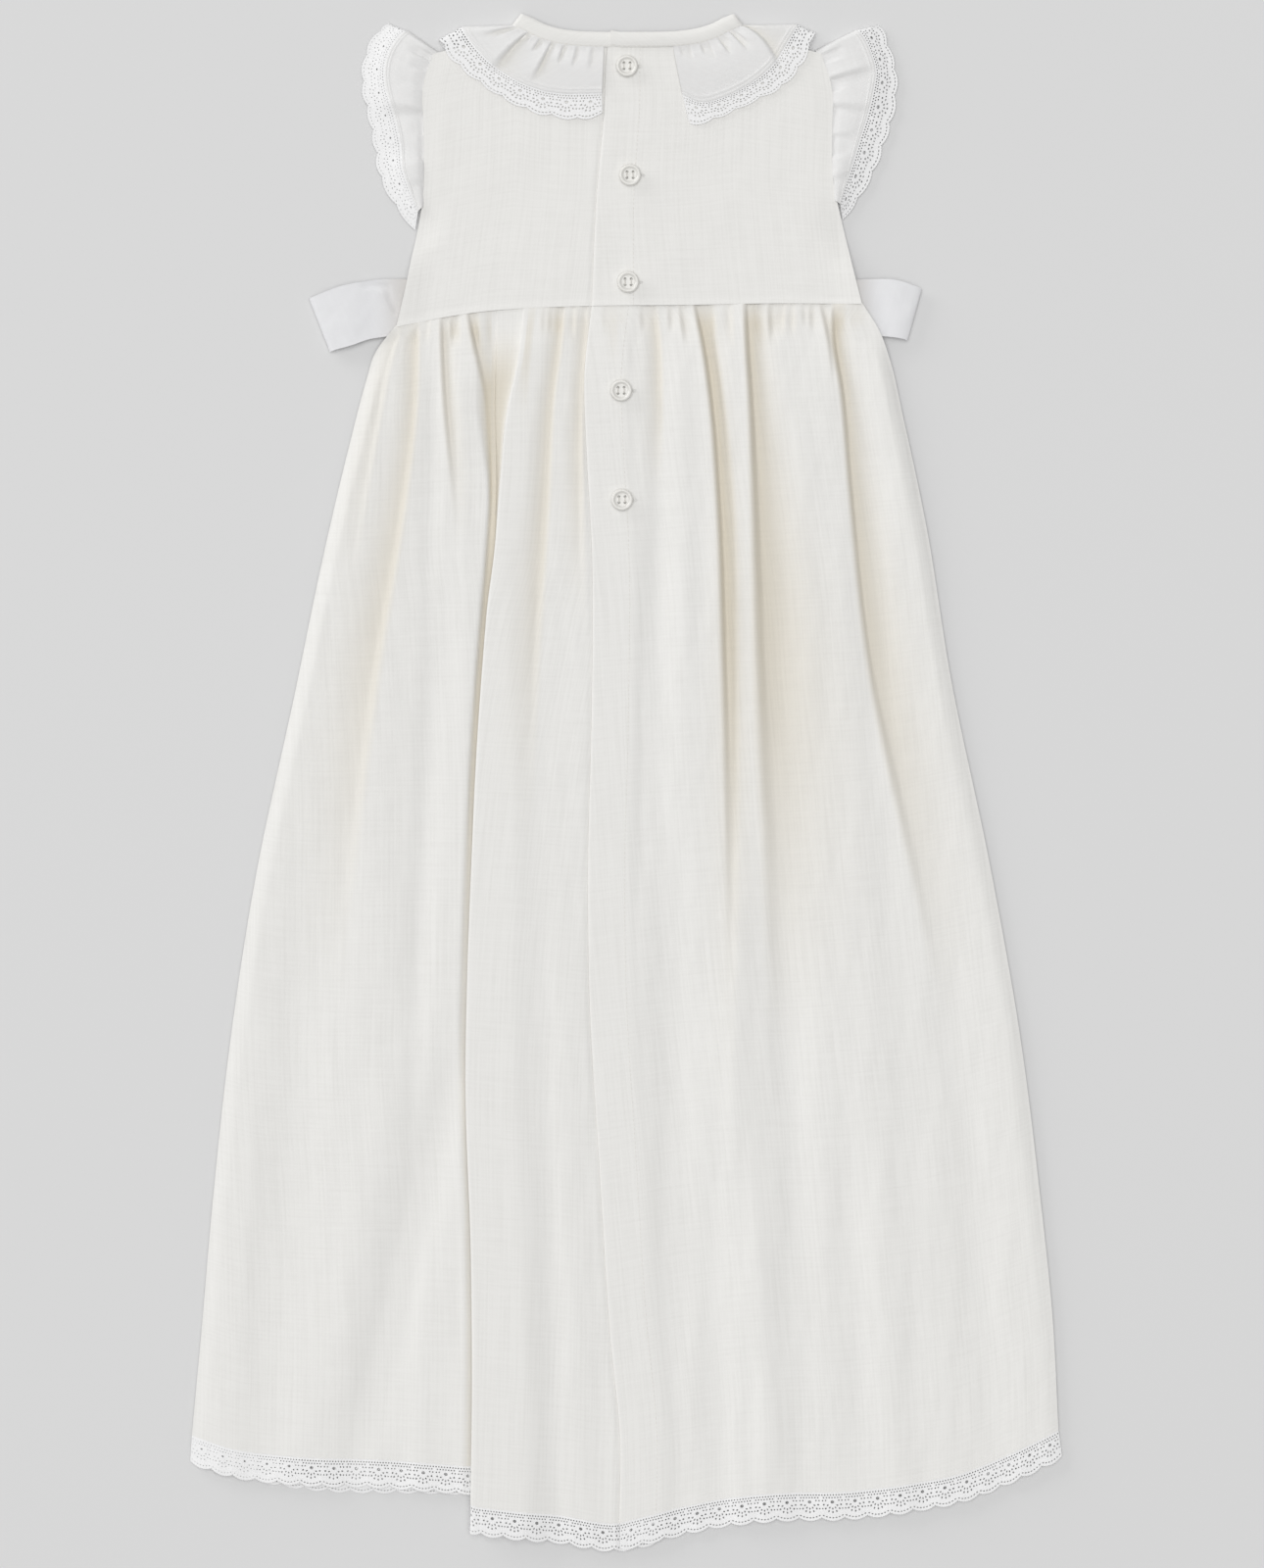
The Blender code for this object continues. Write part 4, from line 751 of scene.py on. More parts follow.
SOFT_FOLDS = (
    # panel, from v, x there, to v, x there, depth, width
    ("side", 0.66, -92.0, 0.99, -142.0, 2.4, 11.0),
    ("side", 0.50, -166.0, 0.88, -187.0, 1.3, 14.0),
    ("side", 0.62, -115.0, 0.98, -168.0, -1.0, 13.0),
    ("side", 0.26, -100.0, 0.60, -112.0, 1.4, 8.0),
    ("side", 0.30, -128.0, 0.70, -142.0, -0.8, 12.0),
    ("side", 0.72, -200.0, 0.98, -208.0, -0.7, 10.0),
    ("middle", 0.50, -68.0, 0.85, -60.0, 1.2, 9.0),
    ("middle", 0.25, -60.0, 0.60, -62.0, 0.9, 6.0),
    ("middle", 0.45, -38.0, 0.98, -26.0, -1.0, 10.0),
    ("middle", 0.70, -46.0, 0.98, -44.0, 0.9, 8.0),
    ("right", 0.48, 26.0, 0.84, 30.0, 2.3, 12.0),
    ("right", 0.46, 56.0, 0.72, 57.0, -1.3, 7.0),
    ("right", 0.52, 82.0, 0.80, 90.0, 1.9, 10.0),
    ("right", 0.76, 44.0, 1.00, 50.0, 1.7, 10.0),
    ("right", 0.74, 68.0, 0.98, 78.0, -1.2, 9.0),
    ("right", 0.30, 112.0, 0.95, 148.0, -1.3, 17.0),
    ("right", 0.50, 168.0, 0.95, 192.0, 1.5, 13.0),
    ("right", 0.70, 112.0, 0.98, 122.0, 1.3, 12.0),
    ("right", 0.18, 12.0, 0.45, 8.0, 1.0, 8.0),
    ("right", 0.20, 88.0, 0.48, 96.0, -0.8, 9.0),
    ("side", 0.05, -102.0, 0.24, -105.5, 0.8, 5.0),
    ("side", 0.04, -88.0, 0.20, -87.0, -0.7, 4.5),
    ("middle", 0.06, -42.0, 0.22, -46.0, 0.7, 5.5),
    ("right", 0.04, 16.0, 0.34, 17.0, 1.5, 5.5),
    ("right", 0.05, 29.0, 0.30, 31.0, -1.0, 6.0),
    ("right", 0.10, 52.0, 0.32, 57.0, -0.8, 4.5),
    ("right", 0.03, 119.0, 0.34, 131.0, 2.4, 10.0),
    ("right", 0.10, 92.0, 0.34, 99.0, -0.9, 8.0),
)
SKIRT_HEIGHT = (
    # v, the middle of the back skirt between its folds
    (0.00, 3.6), (0.02, 4.6), (0.05, 5.8), (0.16, 5.6), (0.40, 4.5), (0.65, 3.8), (1.00, 2.9),
)
gathers = len(LEFT_SIDE_CREASES) + len(MIDDLE_CREASES) + len(RIGHT_CREASES)
print(gathers, "gathers and creases,", len(SOFT_FOLDS), "broad folds")

# %% Relief from the tables
SHARP = 1.9  # how many millimetres a fold takes to fall into its valley
LIT_SLOPE = 0.62  # folds that fall towards the light are pressed flatter
PAINTED_SHADE_PER_MM = 0.225  # how much painted shade colour a millimetre of a crease's depth brings into its valley


def crease_relief(creases, x, v):
    """How much the creases raise or lower the cloth, and how much painted shade its valleys get there."""
    relief = np.zeros(np.broadcast(x, v).shape)
    painted_shade = np.zeros(relief.shape)
    for side, depth, width_top, width_low, fades_by, places in creases:
        path = list(zip(CREASE_STATIONS, places + places[-1:] * len(CREASE_STATIONS)))
        width = 1.25 * blend(width_top, width_low, ease(0.0, 0.4, v))
        away = side * (x - through(path, v))
        falls = SHARP + 0.22 * width
        into_valley = ease(-0.35 * falls, 0.65 * falls, away)
        past = np.maximum(away - 0.5 * falls, 0.0) / width
        fading = np.exp(-(past**1.6))
        ridge = (1.0 - into_valley) * np.exp(-np.maximum(-away, 0.0) / (0.9 * width))
        strength = (0.35 + 0.65 * ease(0.0, 0.02, v)) * (1.0 - ease(0.35 * fades_by, fades_by, v))
        lit = 1.0 if side > 0 else LIT_SLOPE
        relief += lit * depth * strength * (0.42 * ridge - into_valley * fading)
        # painted shade: the cloth is darkened and warmed towards the painted shade colour from each
        # valley's drop on, fading with it
        painted_shade += PAINTED_SHADE_PER_MM * depth * strength * ease(-0.8 * falls, 0.2 * falls, away) * fading
    return relief, painted_shade


def soft_relief(panel, x, v):
    """The broad folds of a panel, which have no sharp side."""
    relief = np.zeros(np.broadcast(x, v).shape)
    for where, v_from, x_from, v_to, x_to, depth, width in SOFT_FOLDS:
        if where == panel:
            along = (v - v_from) / (v_to - v_from)
            centre = blend(x_from, x_to, along)
            shown = ease(-0.25, 0.25, along) * (1.0 - 0.6 * ease(0.75, 1.25, along))
            relief -= depth * shown * hump(centre, width, x)
    return relief


def rumple(x, v, seed):
    """The slight unevenness of linen that hangs along its warp."""
    y = -SKIRT_LENGTH * v
    return 0.36 * ripple(x, 0.28 * y, seed, 38.0) + 0.14 * ripple(x, 0.5 * y, seed + 1, 15.0)


def skirt_side_level(x, v):
    """The level of the skirt's side seam, v being the share of the way from the waist to the hem."""
    return side_level(waist(x) - SKIRT_LENGTH * v)


def skirt_base(x, v, left, right):
    """The back skirt without its folds, from the side seams up to its middle."""
    inner = through(SKIRT_HEIGHT, v)
    edge = skirt_side_level(x, v)
    inward = np.minimum(x - left, right - x)
    return blend(edge, inner, ease(-2.0, 8.0 + 9.0 * np.maximum(edge - inner, 0.0), inward))


def skirt_lowest(x, v, left, right):
    """The level that no valley of the back skirt goes below."""
    inward = np.minimum(x - left, right - x)
    raised = skirt_side_level(x, v) - SIDE_LEVEL
    return SIDE_LEVEL - 0.5 + raised * (1.0 - ease(12.0, 26.0, inward))


def gathered_in(v):
    """The dip of the gathered edge just under the waist seam."""
    return 0.3 * (1.0 - ease(0.0, 0.005, v))


def underlap_level(v):
    """The left back where it lies beneath the right one."""
    return through(SKIRT_HEIGHT, v) - 1.0


print("deepest crease:", max(c[1] for c in RIGHT_CREASES), "mm")

# %% [markdown]
# ## The big fold
#
# Left of the centre, the middle of the back lies over its side: the cloth turns under, runs back and
# turns again, three layers in an S. A height map can't hold that, since it has one height at each
# place, so this stretch of the grid follows a spline whose control points open from a plain slope at
# the waist into the full S lower down.

# %% The fold's section
BIG_FOLD = (
    # v, edge x, how far the cloth goes in under it
    (0.00, -56.4, -11.5), (0.045, -59.5, -8.5), (0.086, -65.0, -3.5), (0.14, -67.6, -1.0),
    (0.21, -70.5, 0.5), (0.28, -74.3, 6.0), (0.37, -78.3, 13.0), (0.47, -81.2, 17.0),
    (0.56, -83.3, 19.0), (0.65, -84.2, 20.0), (0.79, -81.4, 21.0), (0.91, -80.8, 22.0), (1.00, -81.6, 22.0),
)
FOLD_LOW = 1.9  # level of its lowest layer
FOLD_PITCH = 2.3  # from layer to layer
FOLD_TURN = 1.5  # how far the control points of a full turn stand out
FOLD_SLOPE = -1.6  # and those of the plain slope at the waist
FOLD_ROUND = 1.6  # between the control points of a turn
FOLD_REACH = 8.0  # how far the section goes on at both ends


def spline(control, count):
    """count points on the uniform cubic B-spline of a list of control points."""
    control = np.array(control, float)
    at = np.linspace(0.0, len(control) - 3.0 - 1e-9, count)
    i = at.astype(int)
    t = (at - i)[:, None]
    return (
        (1 - t) ** 3 * control[i]
        + (3 * t**3 - 6 * t**2 + 4) * control[i + 1]
        + (-3 * t**3 + 3 * t**2 + 3 * t + 1) * control[i + 2]
        + t**3 * control[i + 3]
    ) / 6.0


def big_fold(v, count):
    """The section of the fold at v, as count points of x and height."""
    edge, depth = through(BIG_FOLD, v)
    one = FOLD_PITCH * (0.25 + 0.75 * float(ease(0.0, 0.04, v)))
    low = FOLD_LOW + 1.1 * (1.0 - float(ease(0.0, 0.03, v)))
    inner = edge + depth
    out = blend(FOLD_SLOPE, FOLD_TURN, float(ease(-4.0, 4.0, depth)))
    start, end = inner + out, edge - out
    step = min(max((end - start) / 3.0, -FOLD_ROUND), FOLD_ROUND)
    level = float(ease(-1.0, 5.0, depth))
    control = (
        (inner - FOLD_REACH, 0.0),
        (start - FOLD_ROUND, 0.0),
        (start, 0.0),
        (start, one * (0.5 + 0.5 * level)),
        (start + step, one * (0.8 + 0.2 * level)),
        (end - step, one * (1.2 - 0.2 * level)),
        (end, one * (1.5 - 0.5 * level)),
        (end, 2 * one),
        (end + FOLD_ROUND, 2 * one),
        (edge + FOLD_REACH, 2 * one),
    )
    points = spline(control, count)
    points[:, 1] += low
    return points


print("the fold at the hem goes in by", BIG_FOLD[-1][2], "mm")

# %% Left back skirt
UNDER_BODICE = 0.6  # how far the gathered edge goes up beneath the bodice


def left_skirt(v, counts):
    """One level of the left back skirt: x, height and painted shade."""
    n_side, n_fold, n_middle = counts
    left, right = through(SKIRT_SIDES, v)
    fold = big_fold(v, n_fold)
    edge_x, depth = through(BIG_FOLD, v)
    low_from = min(fold[0, 0], edge_x - 3.0)
    x_side = blend(left, fold[0, 0], np.linspace(0.0, 1.0, n_side, endpoint=False))
    opening = 2.6 + 6.5 * (1.0 - ease(0.07, 0.17, v))
    near = ease(low_from - opening, low_from, x_side)
    relief, painted_shade_side = crease_relief(LEFT_SIDE_CREASES, x_side, v)
    z_side = skirt_base(x_side, v, left, right) + relief + soft_relief("side", x_side, v)
    z_side = no_lower(skirt_lowest(x_side, v, left, right), z_side + rumple(x_side, v, 11))
    z_side = blend(skirt_side_level(left, v), z_side, ease(-1.0, 3.0, x_side - left))
    z_side = blend(z_side, fold[0, 1], near)
    # painted shade in the narrow valley beside the big fold's edge, lighter towards the hem
    painted_shade_side = painted_shade_side + 0.9 * near * ease(0.02, 0.1, v) * (1.0 - 0.6 * ease(0.3, 0.6, v))

    # painted shade over the big fold's lower turns, fading out in its top layer and at the waist
    share = np.linspace(0.0, 1.0, n_fold)
    painted_shade_fold = 0.85 * (1.0 - ease(0.45, 0.85, share)) * (1.0 - 0.3 * ease(0.4, 0.8, v))
    painted_shade_fold = painted_shade_fold * ease(0.01, 0.07, v)

    seam_x = through(SKIRT_PLACKET, v)
    x_end = seam_x + UNDERLAP
    x_middle = blend(fold[-1, 0], x_end, np.linspace(0.0, 1.0, n_middle + 1)[1:])
    relief, painted_shade_middle = crease_relief(MIDDLE_CREASES, x_middle, v)
    z_middle = through(SKIRT_HEIGHT, v) + relief + soft_relief("middle", x_middle, v)
    z_middle = no_lower(SIDE_LEVEL, z_middle + rumple(x_middle, v, 21))
    high_to = max(fold[-1, 0], edge_x + depth + 3.0)
    leaving = ease(high_to, high_to + 22.0, x_middle)
    z_middle = blend(fold[-1, 1], z_middle, leaving)
    z_middle = blend(z_middle, underlap_level(v), ease(seam_x - 3.0, seam_x + 0.8, x_middle))
    x = np.concatenate([x_side, fold[:, 0], x_middle])
    z = np.concatenate([z_side, fold[:, 1], z_middle]) - gathered_in(v)
    painted_shade = np.concatenate([painted_shade_side, painted_shade_fold, painted_shade_middle])
    return np.stack([x, z, painted_shade], axis=1)


def left_skirt_grid(levels, counts):
    """The left back skirt's points, and how much painted shade it gets at each."""
    rows = np.array([left_skirt(v, counts) for v in levels])
    top, bottom = rows[0][:, 0], rows[-1][:, 0]
    n_side, n_fold, _ = counts
    along = run_along(rows[-1][:, :2])
    past_fold = ease(along[n_side], along[n_side + n_fold], along)
    y_hem = blend(through(HEM_SIDE, bottom), through(HEM_MIDDLE, bottom), past_fold)
    y = blend(waist(top) + UNDER_BODICE, y_hem, np.array(levels)[:, None])
    return np.stack([rows[..., 0], y, rows[..., 1]], axis=-1), np.clip(rows[..., 2], 0.0, 1.0)


def right_skirt_grid(levels, columns):
    """The right back skirt's points without its turned edge, and how much painted shade it gets at each."""
    across = np.array(columns)[None, :]
    v = np.array(levels)[:, None]
    left_side, right_side = np.moveaxis(through(SKIRT_SIDES, v), -1, 0)
    edge = through(SKIRT_PLACKET, v)
    x = blend(edge, right_side, across)
    relief, painted_shade = crease_relief(RIGHT_CREASES, x, v)
    z = skirt_base(x, v, left_side, right_side) + relief + soft_relief("right", x, v) + rumple(x, v, 31)
    over = 1.0 - ease(UNDERLAP + 0.5, UNDERLAP + 15.0, x - edge)
    lowest = skirt_lowest(x, v, left_side, right_side)
    z = no_lower(lowest + over * np.maximum(underlap_level(v) + 1.3 - lowest, 0.0), z)
    z = blend(skirt_side_level(right_side, v), z, ease(-1.0, 3.0, right_side - x)) - gathered_in(v)
    y = blend(waist(x[:1]) + UNDER_BODICE, through(HEM_RIGHT, x[-1:]), v)
    return np.stack([x, y, z], axis=-1), np.clip(painted_shade, 0.0, 1.0)


LEVELS = np.linspace(0.0, 1.0, 210) ** 1.45
LEFT_COUNTS = (100, 40, 86)
left_grid, left_painted_shade = left_skirt_grid(LEVELS, LEFT_COUNTS)
left_skirt_piece = sheet_of("left_back_skirt", left_grid, LINEN, left_painted_shade)
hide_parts("skirt_back_left")
declare(left_grid)

# %% Right back skirt, with its turned edge
right_grid, right_painted_shade = right_skirt_grid(LEVELS, np.linspace(0.0, 1.0, 212))
turned_grid = with_turned_edge(right_grid, TURNED_EDGE, columns=5)
extra = turned_grid.shape[1] - right_grid.shape[1]
turned_painted_shade = np.concatenate([np.zeros((len(LEVELS), extra)), right_painted_shade], axis=1)
right_skirt_piece = sheet_of("right_back_skirt", turned_grid, LINEN, turned_painted_shade)
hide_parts("skirt_back_right")
declare(turned_grid)

# %% [markdown]
# ## Lace
#
# The edging is a cotton lace with a scalloped edge: a plain footing that is sewn to the cloth, two rows
# of net holes, an eye in the middle of each scallop with rays of small holes round it, a dense band and
# a border of slots with tiny loops. Holes in a shader would vanish in other programs, so one repeat is
# filled with even triangles round its real holes, repeated, and bent along each edge.

# %% One repeat of the lace
PICOTS = 10  # tiny loops along one scallop
HOLE_SIDES = 6
INSIDE_THE_OUTLINE = 1  # the kind of filling that leaves out what lies outside the first ring
EDGE_STEPS = (0.0, 2.9, 4.4, 6.6, 8.2, 10.4, 12.0)  # points down a repeat's straight sides
RAYS = (
    # rays round the eye: distance from its middle, where that lies across, size, size outwards, degrees
    (2.75, 6.3, 0.95, 1.35, (-68.0, -34.0, 0.0, 34.0, 68.0)),
    (4.65, 6.1, 1.05, 1.3, (-78.0, -52.0, -26.0, 0.0, 26.0, 52.0, 78.0)),
)


def scallop_edge(u):
    """How far the lace reaches at u millimetres along its repeat."""
    return LACE - SCALLOP_DEPTH * (1.0 - np.abs(np.sin(math.pi * u / SCALLOP)) ** 0.8)


def lace_holes():
    """The holes of one repeat: centre along and across, size along and across, turn in degrees."""
    middle = SCALLOP / 2
    pitch = SCALLOP / 8
    holes = [(pitch * (k + 0.5), 2.2, 0.98, 0.92, 0.0) for k in range(8)]
    holes += [(pitch * (k + 1.0), 3.5, 0.98, 0.92, 0.0) for k in range(7)]
    holes.append((middle, 5.7, 2.3, 1.9, 0.0))
    for reach, across, size_u, size_w, angles in RAYS:
        for angle in angles:
            turn = math.radians(angle)
            centre = (middle + reach * math.sin(turn), across + reach * math.cos(turn))
            holes.append((*centre, size_u, size_w, -angle))
    for u, w in ((0.95, 5.0), (2.55, 4.95), (9.55, 4.95), (11.15, 5.0), (0.8, 9.0), (11.3, 9.0)):
        holes.append((u, w, 0.95, 0.95, 0.0))
    for k in range(7):
        u = 1.05 + k * (SCALLOP - 2.1) / 6.0
        slope = (scallop_edge(u + 0.2) - scallop_edge(u - 0.2)) / 0.4
        holes.append((u, scallop_edge(u) - 1.35, 1.28, 0.82, math.degrees(math.atan(slope))))
    return holes


def lace_outline():
    """The outline of one repeat, with small loops along its scalloped edge."""
    down = [(SCALLOP, w) for w in EDGE_STEPS]
    u = np.linspace(SCALLOP, 0.0, PICOTS * 4 + 1)
    loops = 0.30 * np.abs(np.sin(math.pi * PICOTS * u / SCALLOP))
    edge = [(float(a), float(scallop_edge(a) + b)) for a, b in zip(u, loops)]
    up = [(0.0, w) for w in reversed(EDGE_STEPS)]
    head = [(SCALLOP * k / 8, 0.0) for k in range(1, 8)]
    return down + edge + up + head


def lace_repeat(openness):
    """One repeat as points and triangles, in millimetres; openness scales its holes."""
    rings = [lace_outline()]
    solid = []
    for i, w in enumerate(np.arange(0.9, 13.0, 1.1)):
        solid += [(u, w) for u in np.arange(0.8 + 0.5 * (i % 2), 11.6, 1.1) if w < scallop_edge(u) - 0.6]
    for u, w, size_u, size_w, degrees in lace_holes():
        cos, sin = math.cos(math.radians(degrees)), math.sin(math.radians(degrees))
        ring = []
        for k in range(HOLE_SIDES):
            a = 2.0 * math.pi * (k + 0.5) / HOLE_SIDES
            p, q = 0.5 * openness * size_u * math.cos(a), 0.5 * openness * size_w * math.sin(a)
            ring.append((u + p * cos - q * sin, w + p * sin + q * cos))
        rings.append(ring)
        clear = 0.5 * max(size_u, size_w) + 0.3
        solid = [p for p in solid if math.hypot(p[0] - u, p[1] - w) > clear]
    points, edges, ring_of = [], [], []
    for number_of_ring, ring in enumerate(rings):
        edges += [(len(points) + k, len(points) + (k + 1) % len(ring)) for k in range(len(ring))]
        points += ring
        ring_of += [number_of_ring] * len(ring)
    found = delaunay_2d_cdt([Vector(p) for p in points + solid], edges, [], INSIDE_THE_OUTLINE, 1e-5)
    ring_of = np.array(ring_of + [0] * len(solid))[[olds[0] for olds in found[3]]]
    corners = ring_of[np.array(found[2])]
    in_a_hole = (corners[:, 0] > 0) & (corners[:, 0] == corners[:, 1]) & (corners[:, 1] == corners[:, 2])
    return np.array(found[0]), np.array(found[2])[~in_a_hole]


# open lace first, and then lace whose holes are nearly shut, as where it is doubled
REPEATS = [lace_repeat(openness) for openness in (0.9, 0.76, 0.62, 0.5)]
print(f"one repeat: {len(REPEATS[0][0])} points, {len(REPEATS[0][1])} triangles, {len(lace_holes())} holes")

# %% Lace bent along an edge
LACE_THICKNESS = 0.2
HEADER_TUCK = 0.8  # how far the lace's footing lies under the cloth's edge


def lace_piece(name, length, place, node, shut=0):
    """Lace along an edge of the given length. place turns arrays (distance along, across) into points;
    shut is how many repeats at the start have their holes nearly shut, before they open again."""
    repeats = max(1, round(length / SCALLOP))
    stretch = length / (repeats * SCALLOP)
    runs, faces, used = [], [], 0
    for k in range(repeats):
        repeat, triangles = REPEATS[min(max(shut - k, 0), len(REPEATS) - 1)]
        runs.append(repeat + (k * SCALLOP, 0.0))
        faces.append(triangles + used)
        used += len(repeat)
    along, across = np.concatenate(runs).T
    faces = np.concatenate(faces)
    points = place(along * stretch, across)
    uv = np.stack([along, across], axis=1) * MM
    piece = new_piece(name, points, faces, LACE_YARN, uv)
    made = bmesh.new()
    made.from_mesh(piece.data)
    bmesh.ops.remove_doubles(made, verts=made.verts, dist=0.00002)
    bmesh.ops.recalc_face_normals(made, faces=made.faces)
    made.to_mesh(piece.data)
    made.free()
    thicken(piece, LACE_THICKNESS)
    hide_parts(node)
    outer = place(np.linspace(0.0, length, 600), np.full(600, LACE))


# %% Hem lace


def along_hem(hem):
    """The length of a hem's row of points, and the function that places its lace."""
    run = run_along(hem)

    def place(along, across):
        top = at_distance(hem, run, along)
        lean = np.interp(top[:, 0], (-232.0, 0.0, 232.0), (-0.07, 0.0, 0.14))
        away = across * (LACE + HEADER_TUCK) / LACE - HEADER_TUCK
        top[:, 0] += lean * away
        top[:, 1] -= away
        top[:, 2] += 0.25 * ripple(top[:, 0], top[:, 1], 41, 30.0) * ease(0.0, 12.0, across)
        top[:, 2] -= 0.20 * (1.0 - ease(0.4, 2.4, across))
        return top

    return run[-1], place


for name, hem, node, shut in (
    ("left_hem_lace", left_grid[-1], "hem_lace_back_left", 5),
    ("right_hem_lace", right_grid[-1], "hem_lace_back_right", 0),
    ("front_hem_lace", front_grid[-1], "hem_lace_front", 5),
):
    length, place = along_hem(hem)
    lace_piece(name, length, place, node, shut)

# %% [markdown]
# ## Collar and armhole frills
#
# The collar is a strip gathered on to the neck seam, and so are the frills at the armholes. Each lies
# on the back, turns over the shoulder and goes on under the front. A table gives the strip's two
# edges and the lace's edge at a row of stations, and a second one the dips between the gathers.

# %% Strip tables
COLLAR_LEFT = (
    # layer, neck x, free x, y, lace x, y
    (1.0, -12.6, -13.6, 366.0, -13.4, 354.3),
    (1.0, -20.8, -24.5, 365.8, -25.5, 351.6),
    (1.0, -28.6, -34.5, 365.9, -37.0, 352.9),
    (1.0, -36.8, -45.6, 367.6, -49.5, 355.5),
    (1.0, -44.4, -58.0, 372.4, -64.5, 362.2),
    (1.0, -51.0, -71.0, 380.8, -79.5, 372.0),
    (1.0, -56.0, -81.5, 391.5, -92.8, 383.2),
    (0.0, -60.6, -88.0, 401.2, -100.4, 394.6),
    (-1.0, -56.0, -81.0, 391.0, -92.0, 382.0),
    (-1.0, -50.6, -72.0, 372.0, -82.0, 361.0),
    (-1.0, -38.6, -52.0, 348.4, -59.0, 335.2),
    (-1.0, -20.6, -27.0, 337.6, -30.0, 323.0),
    (-1.0, -2.0, -2.4, 335.0, -2.6, 320.4),
)
COLLAR_RIGHT = (
    # layer, neck x, free x, y, lace x, y
    (1.0, 24.0, 29.0, 365.2, 33.2, 348.0),
    (1.0, 32.0, 39.5, 361.2, 45.0, 351.4),
    (1.0, 40.0, 52.0, 364.5, 57.0, 356.6),
    (1.0, 46.5, 63.0, 370.0, 70.5, 363.0),
    (1.0, 51.5, 72.0, 376.4, 81.0, 368.4),
    (1.0, 54.5, 78.5, 383.4, 88.5, 375.6),
    (1.0, 57.0, 84.0, 392.5, 94.2, 384.2),
    (0.0, 60.6, 90.0, 402.4, 99.6, 398.6),
    (-1.0, 56.0, 84.0, 392.0, 94.0, 383.0),
    (-1.0, 50.6, 72.0, 372.0, 82.0, 361.0),
    (-1.0, 38.6, 52.0, 348.4, 59.0, 335.2),
    (-1.0, 20.6, 27.0, 337.6, 30.0, 323.0),
    (-1.0, 2.0, 2.4, 335.0, 2.6, 320.4),
)
FRILL_LEFT = (
    # layer, sewn x, y, free x, y, lace x, y
    (1.0, -109.4, 305.0, -111.0, 303.4, -112.8, 292.6),
    (1.0, -109.2, 316.0, -115.4, 315.2, -124.0, 307.4),
    (1.0, -109.2, 327.0, -119.0, 326.6, -131.8, 322.6),
    (1.0, -109.1, 340.0, -120.4, 341.0, -134.6, 338.0),
    (1.0, -109.1, 353.0, -123.6, 355.2, -137.6, 353.4),
    (1.0, -109.1, 364.0, -127.2, 366.6, -140.6, 366.4),
    (1.0, -107.8, 374.0, -128.6, 377.4, -141.0, 379.0),
    (1.0, -105.4, 381.6, -126.6, 387.2, -138.0, 391.0),
    (1.0, -103.4, 386.4, -121.8, 395.0, -131.6, 400.4),
    (0.0, -101.8, 388.8, -117.2, 399.4, -126.2, 403.4),
    (-1.0, -105.2, 386.0, -120.8, 393.8, -129.6, 398.6),
    (-1.0, -108.9, 374.0, -127.0, 376.0, -138.6, 377.0),
    (-1.0, -109.0, 353.0, -122.8, 354.0, -135.6, 352.6),
    (-1.0, -109.0, 332.0, -117.4, 332.0, -130.2, 329.0),
    (-1.0, -109.8, 305.0, -111.2, 303.6, -113.0, 293.6),
)
FRILL_RIGHT = (
    # layer, sewn x, y, free x, y, lace x, y
    (1.0, 111.0, 308.4, 112.6, 307.4, 114.2, 298.4),
    (1.0, 109.8, 319.0, 116.0, 319.6, 123.0, 310.6),
    (1.0, 109.2, 330.0, 119.4, 330.4, 130.8, 324.4),
    (1.0, 109.0, 341.0, 123.0, 342.4, 136.0, 338.6),
    (1.0, 109.0, 353.0, 127.0, 355.4, 140.6, 352.6),
    (1.0, 108.8, 364.0, 129.6, 366.6, 143.0, 367.0),
    (1.0, 107.2, 373.6, 131.2, 377.2, 142.4, 379.4),
    (1.0, 104.9, 380.6, 129.0, 386.2, 139.4, 389.4),
    (1.0, 102.8, 386.0, 125.4, 394.4, 136.4, 398.0),
    (0.0, 101.2, 389.6, 121.4, 399.6, 134.4, 402.8),
    (-1.0, 104.6, 386.0, 124.4, 393.0, 134.6, 395.0),
    (-1.0, 108.8, 372.0, 129.6, 374.0, 140.0, 376.0),
    (-1.0, 109.4, 353.0, 125.0, 354.0, 138.0, 352.6),
    (-1.0, 109.6, 332.0, 118.2, 332.0, 130.0, 328.4),
    (-1.0, 111.4, 308.4, 112.8, 307.6, 114.4, 299.4),
)
COLLAR_LEFT_CREASES = (
    # station at the seam, its shift by the free edge, depth, width, from, to, side of the valley
    (0.75, 0.1, 0.5, 0.30, 0.0, 0.6, -1), (1.75, 0.15, 0.8, 0.16, 0.0, 0.5, -1),
    (2.30, 0.1, 0.5, 0.12, 0.0, 0.2, 1), (2.62, 0.1, 1.3, 0.14, 0.0, 0.45, -1),
    (3.05, 0.0, 0.5, 0.12, 0.0, 0.2, 1), (3.42, 0.15, 1.8, 0.16, 0.0, 0.95, -1),
    (3.85, 0.0, 0.6, 0.12, 0.0, 0.22, 1), (4.24, -0.1, 1.3, 0.14, 0.0, 0.36, -1),
    (4.75, 0.0, 0.6, 0.14, 0.0, 0.25, 1), (5.30, -0.35, 1.9, 0.20, 0.0, 1.25, -1),
    (6.10, -0.2, 0.7, 0.22, 0.0, 0.6, 1), (6.60, -0.3, 0.8, 0.20, 0.1, 0.8, -1),
)
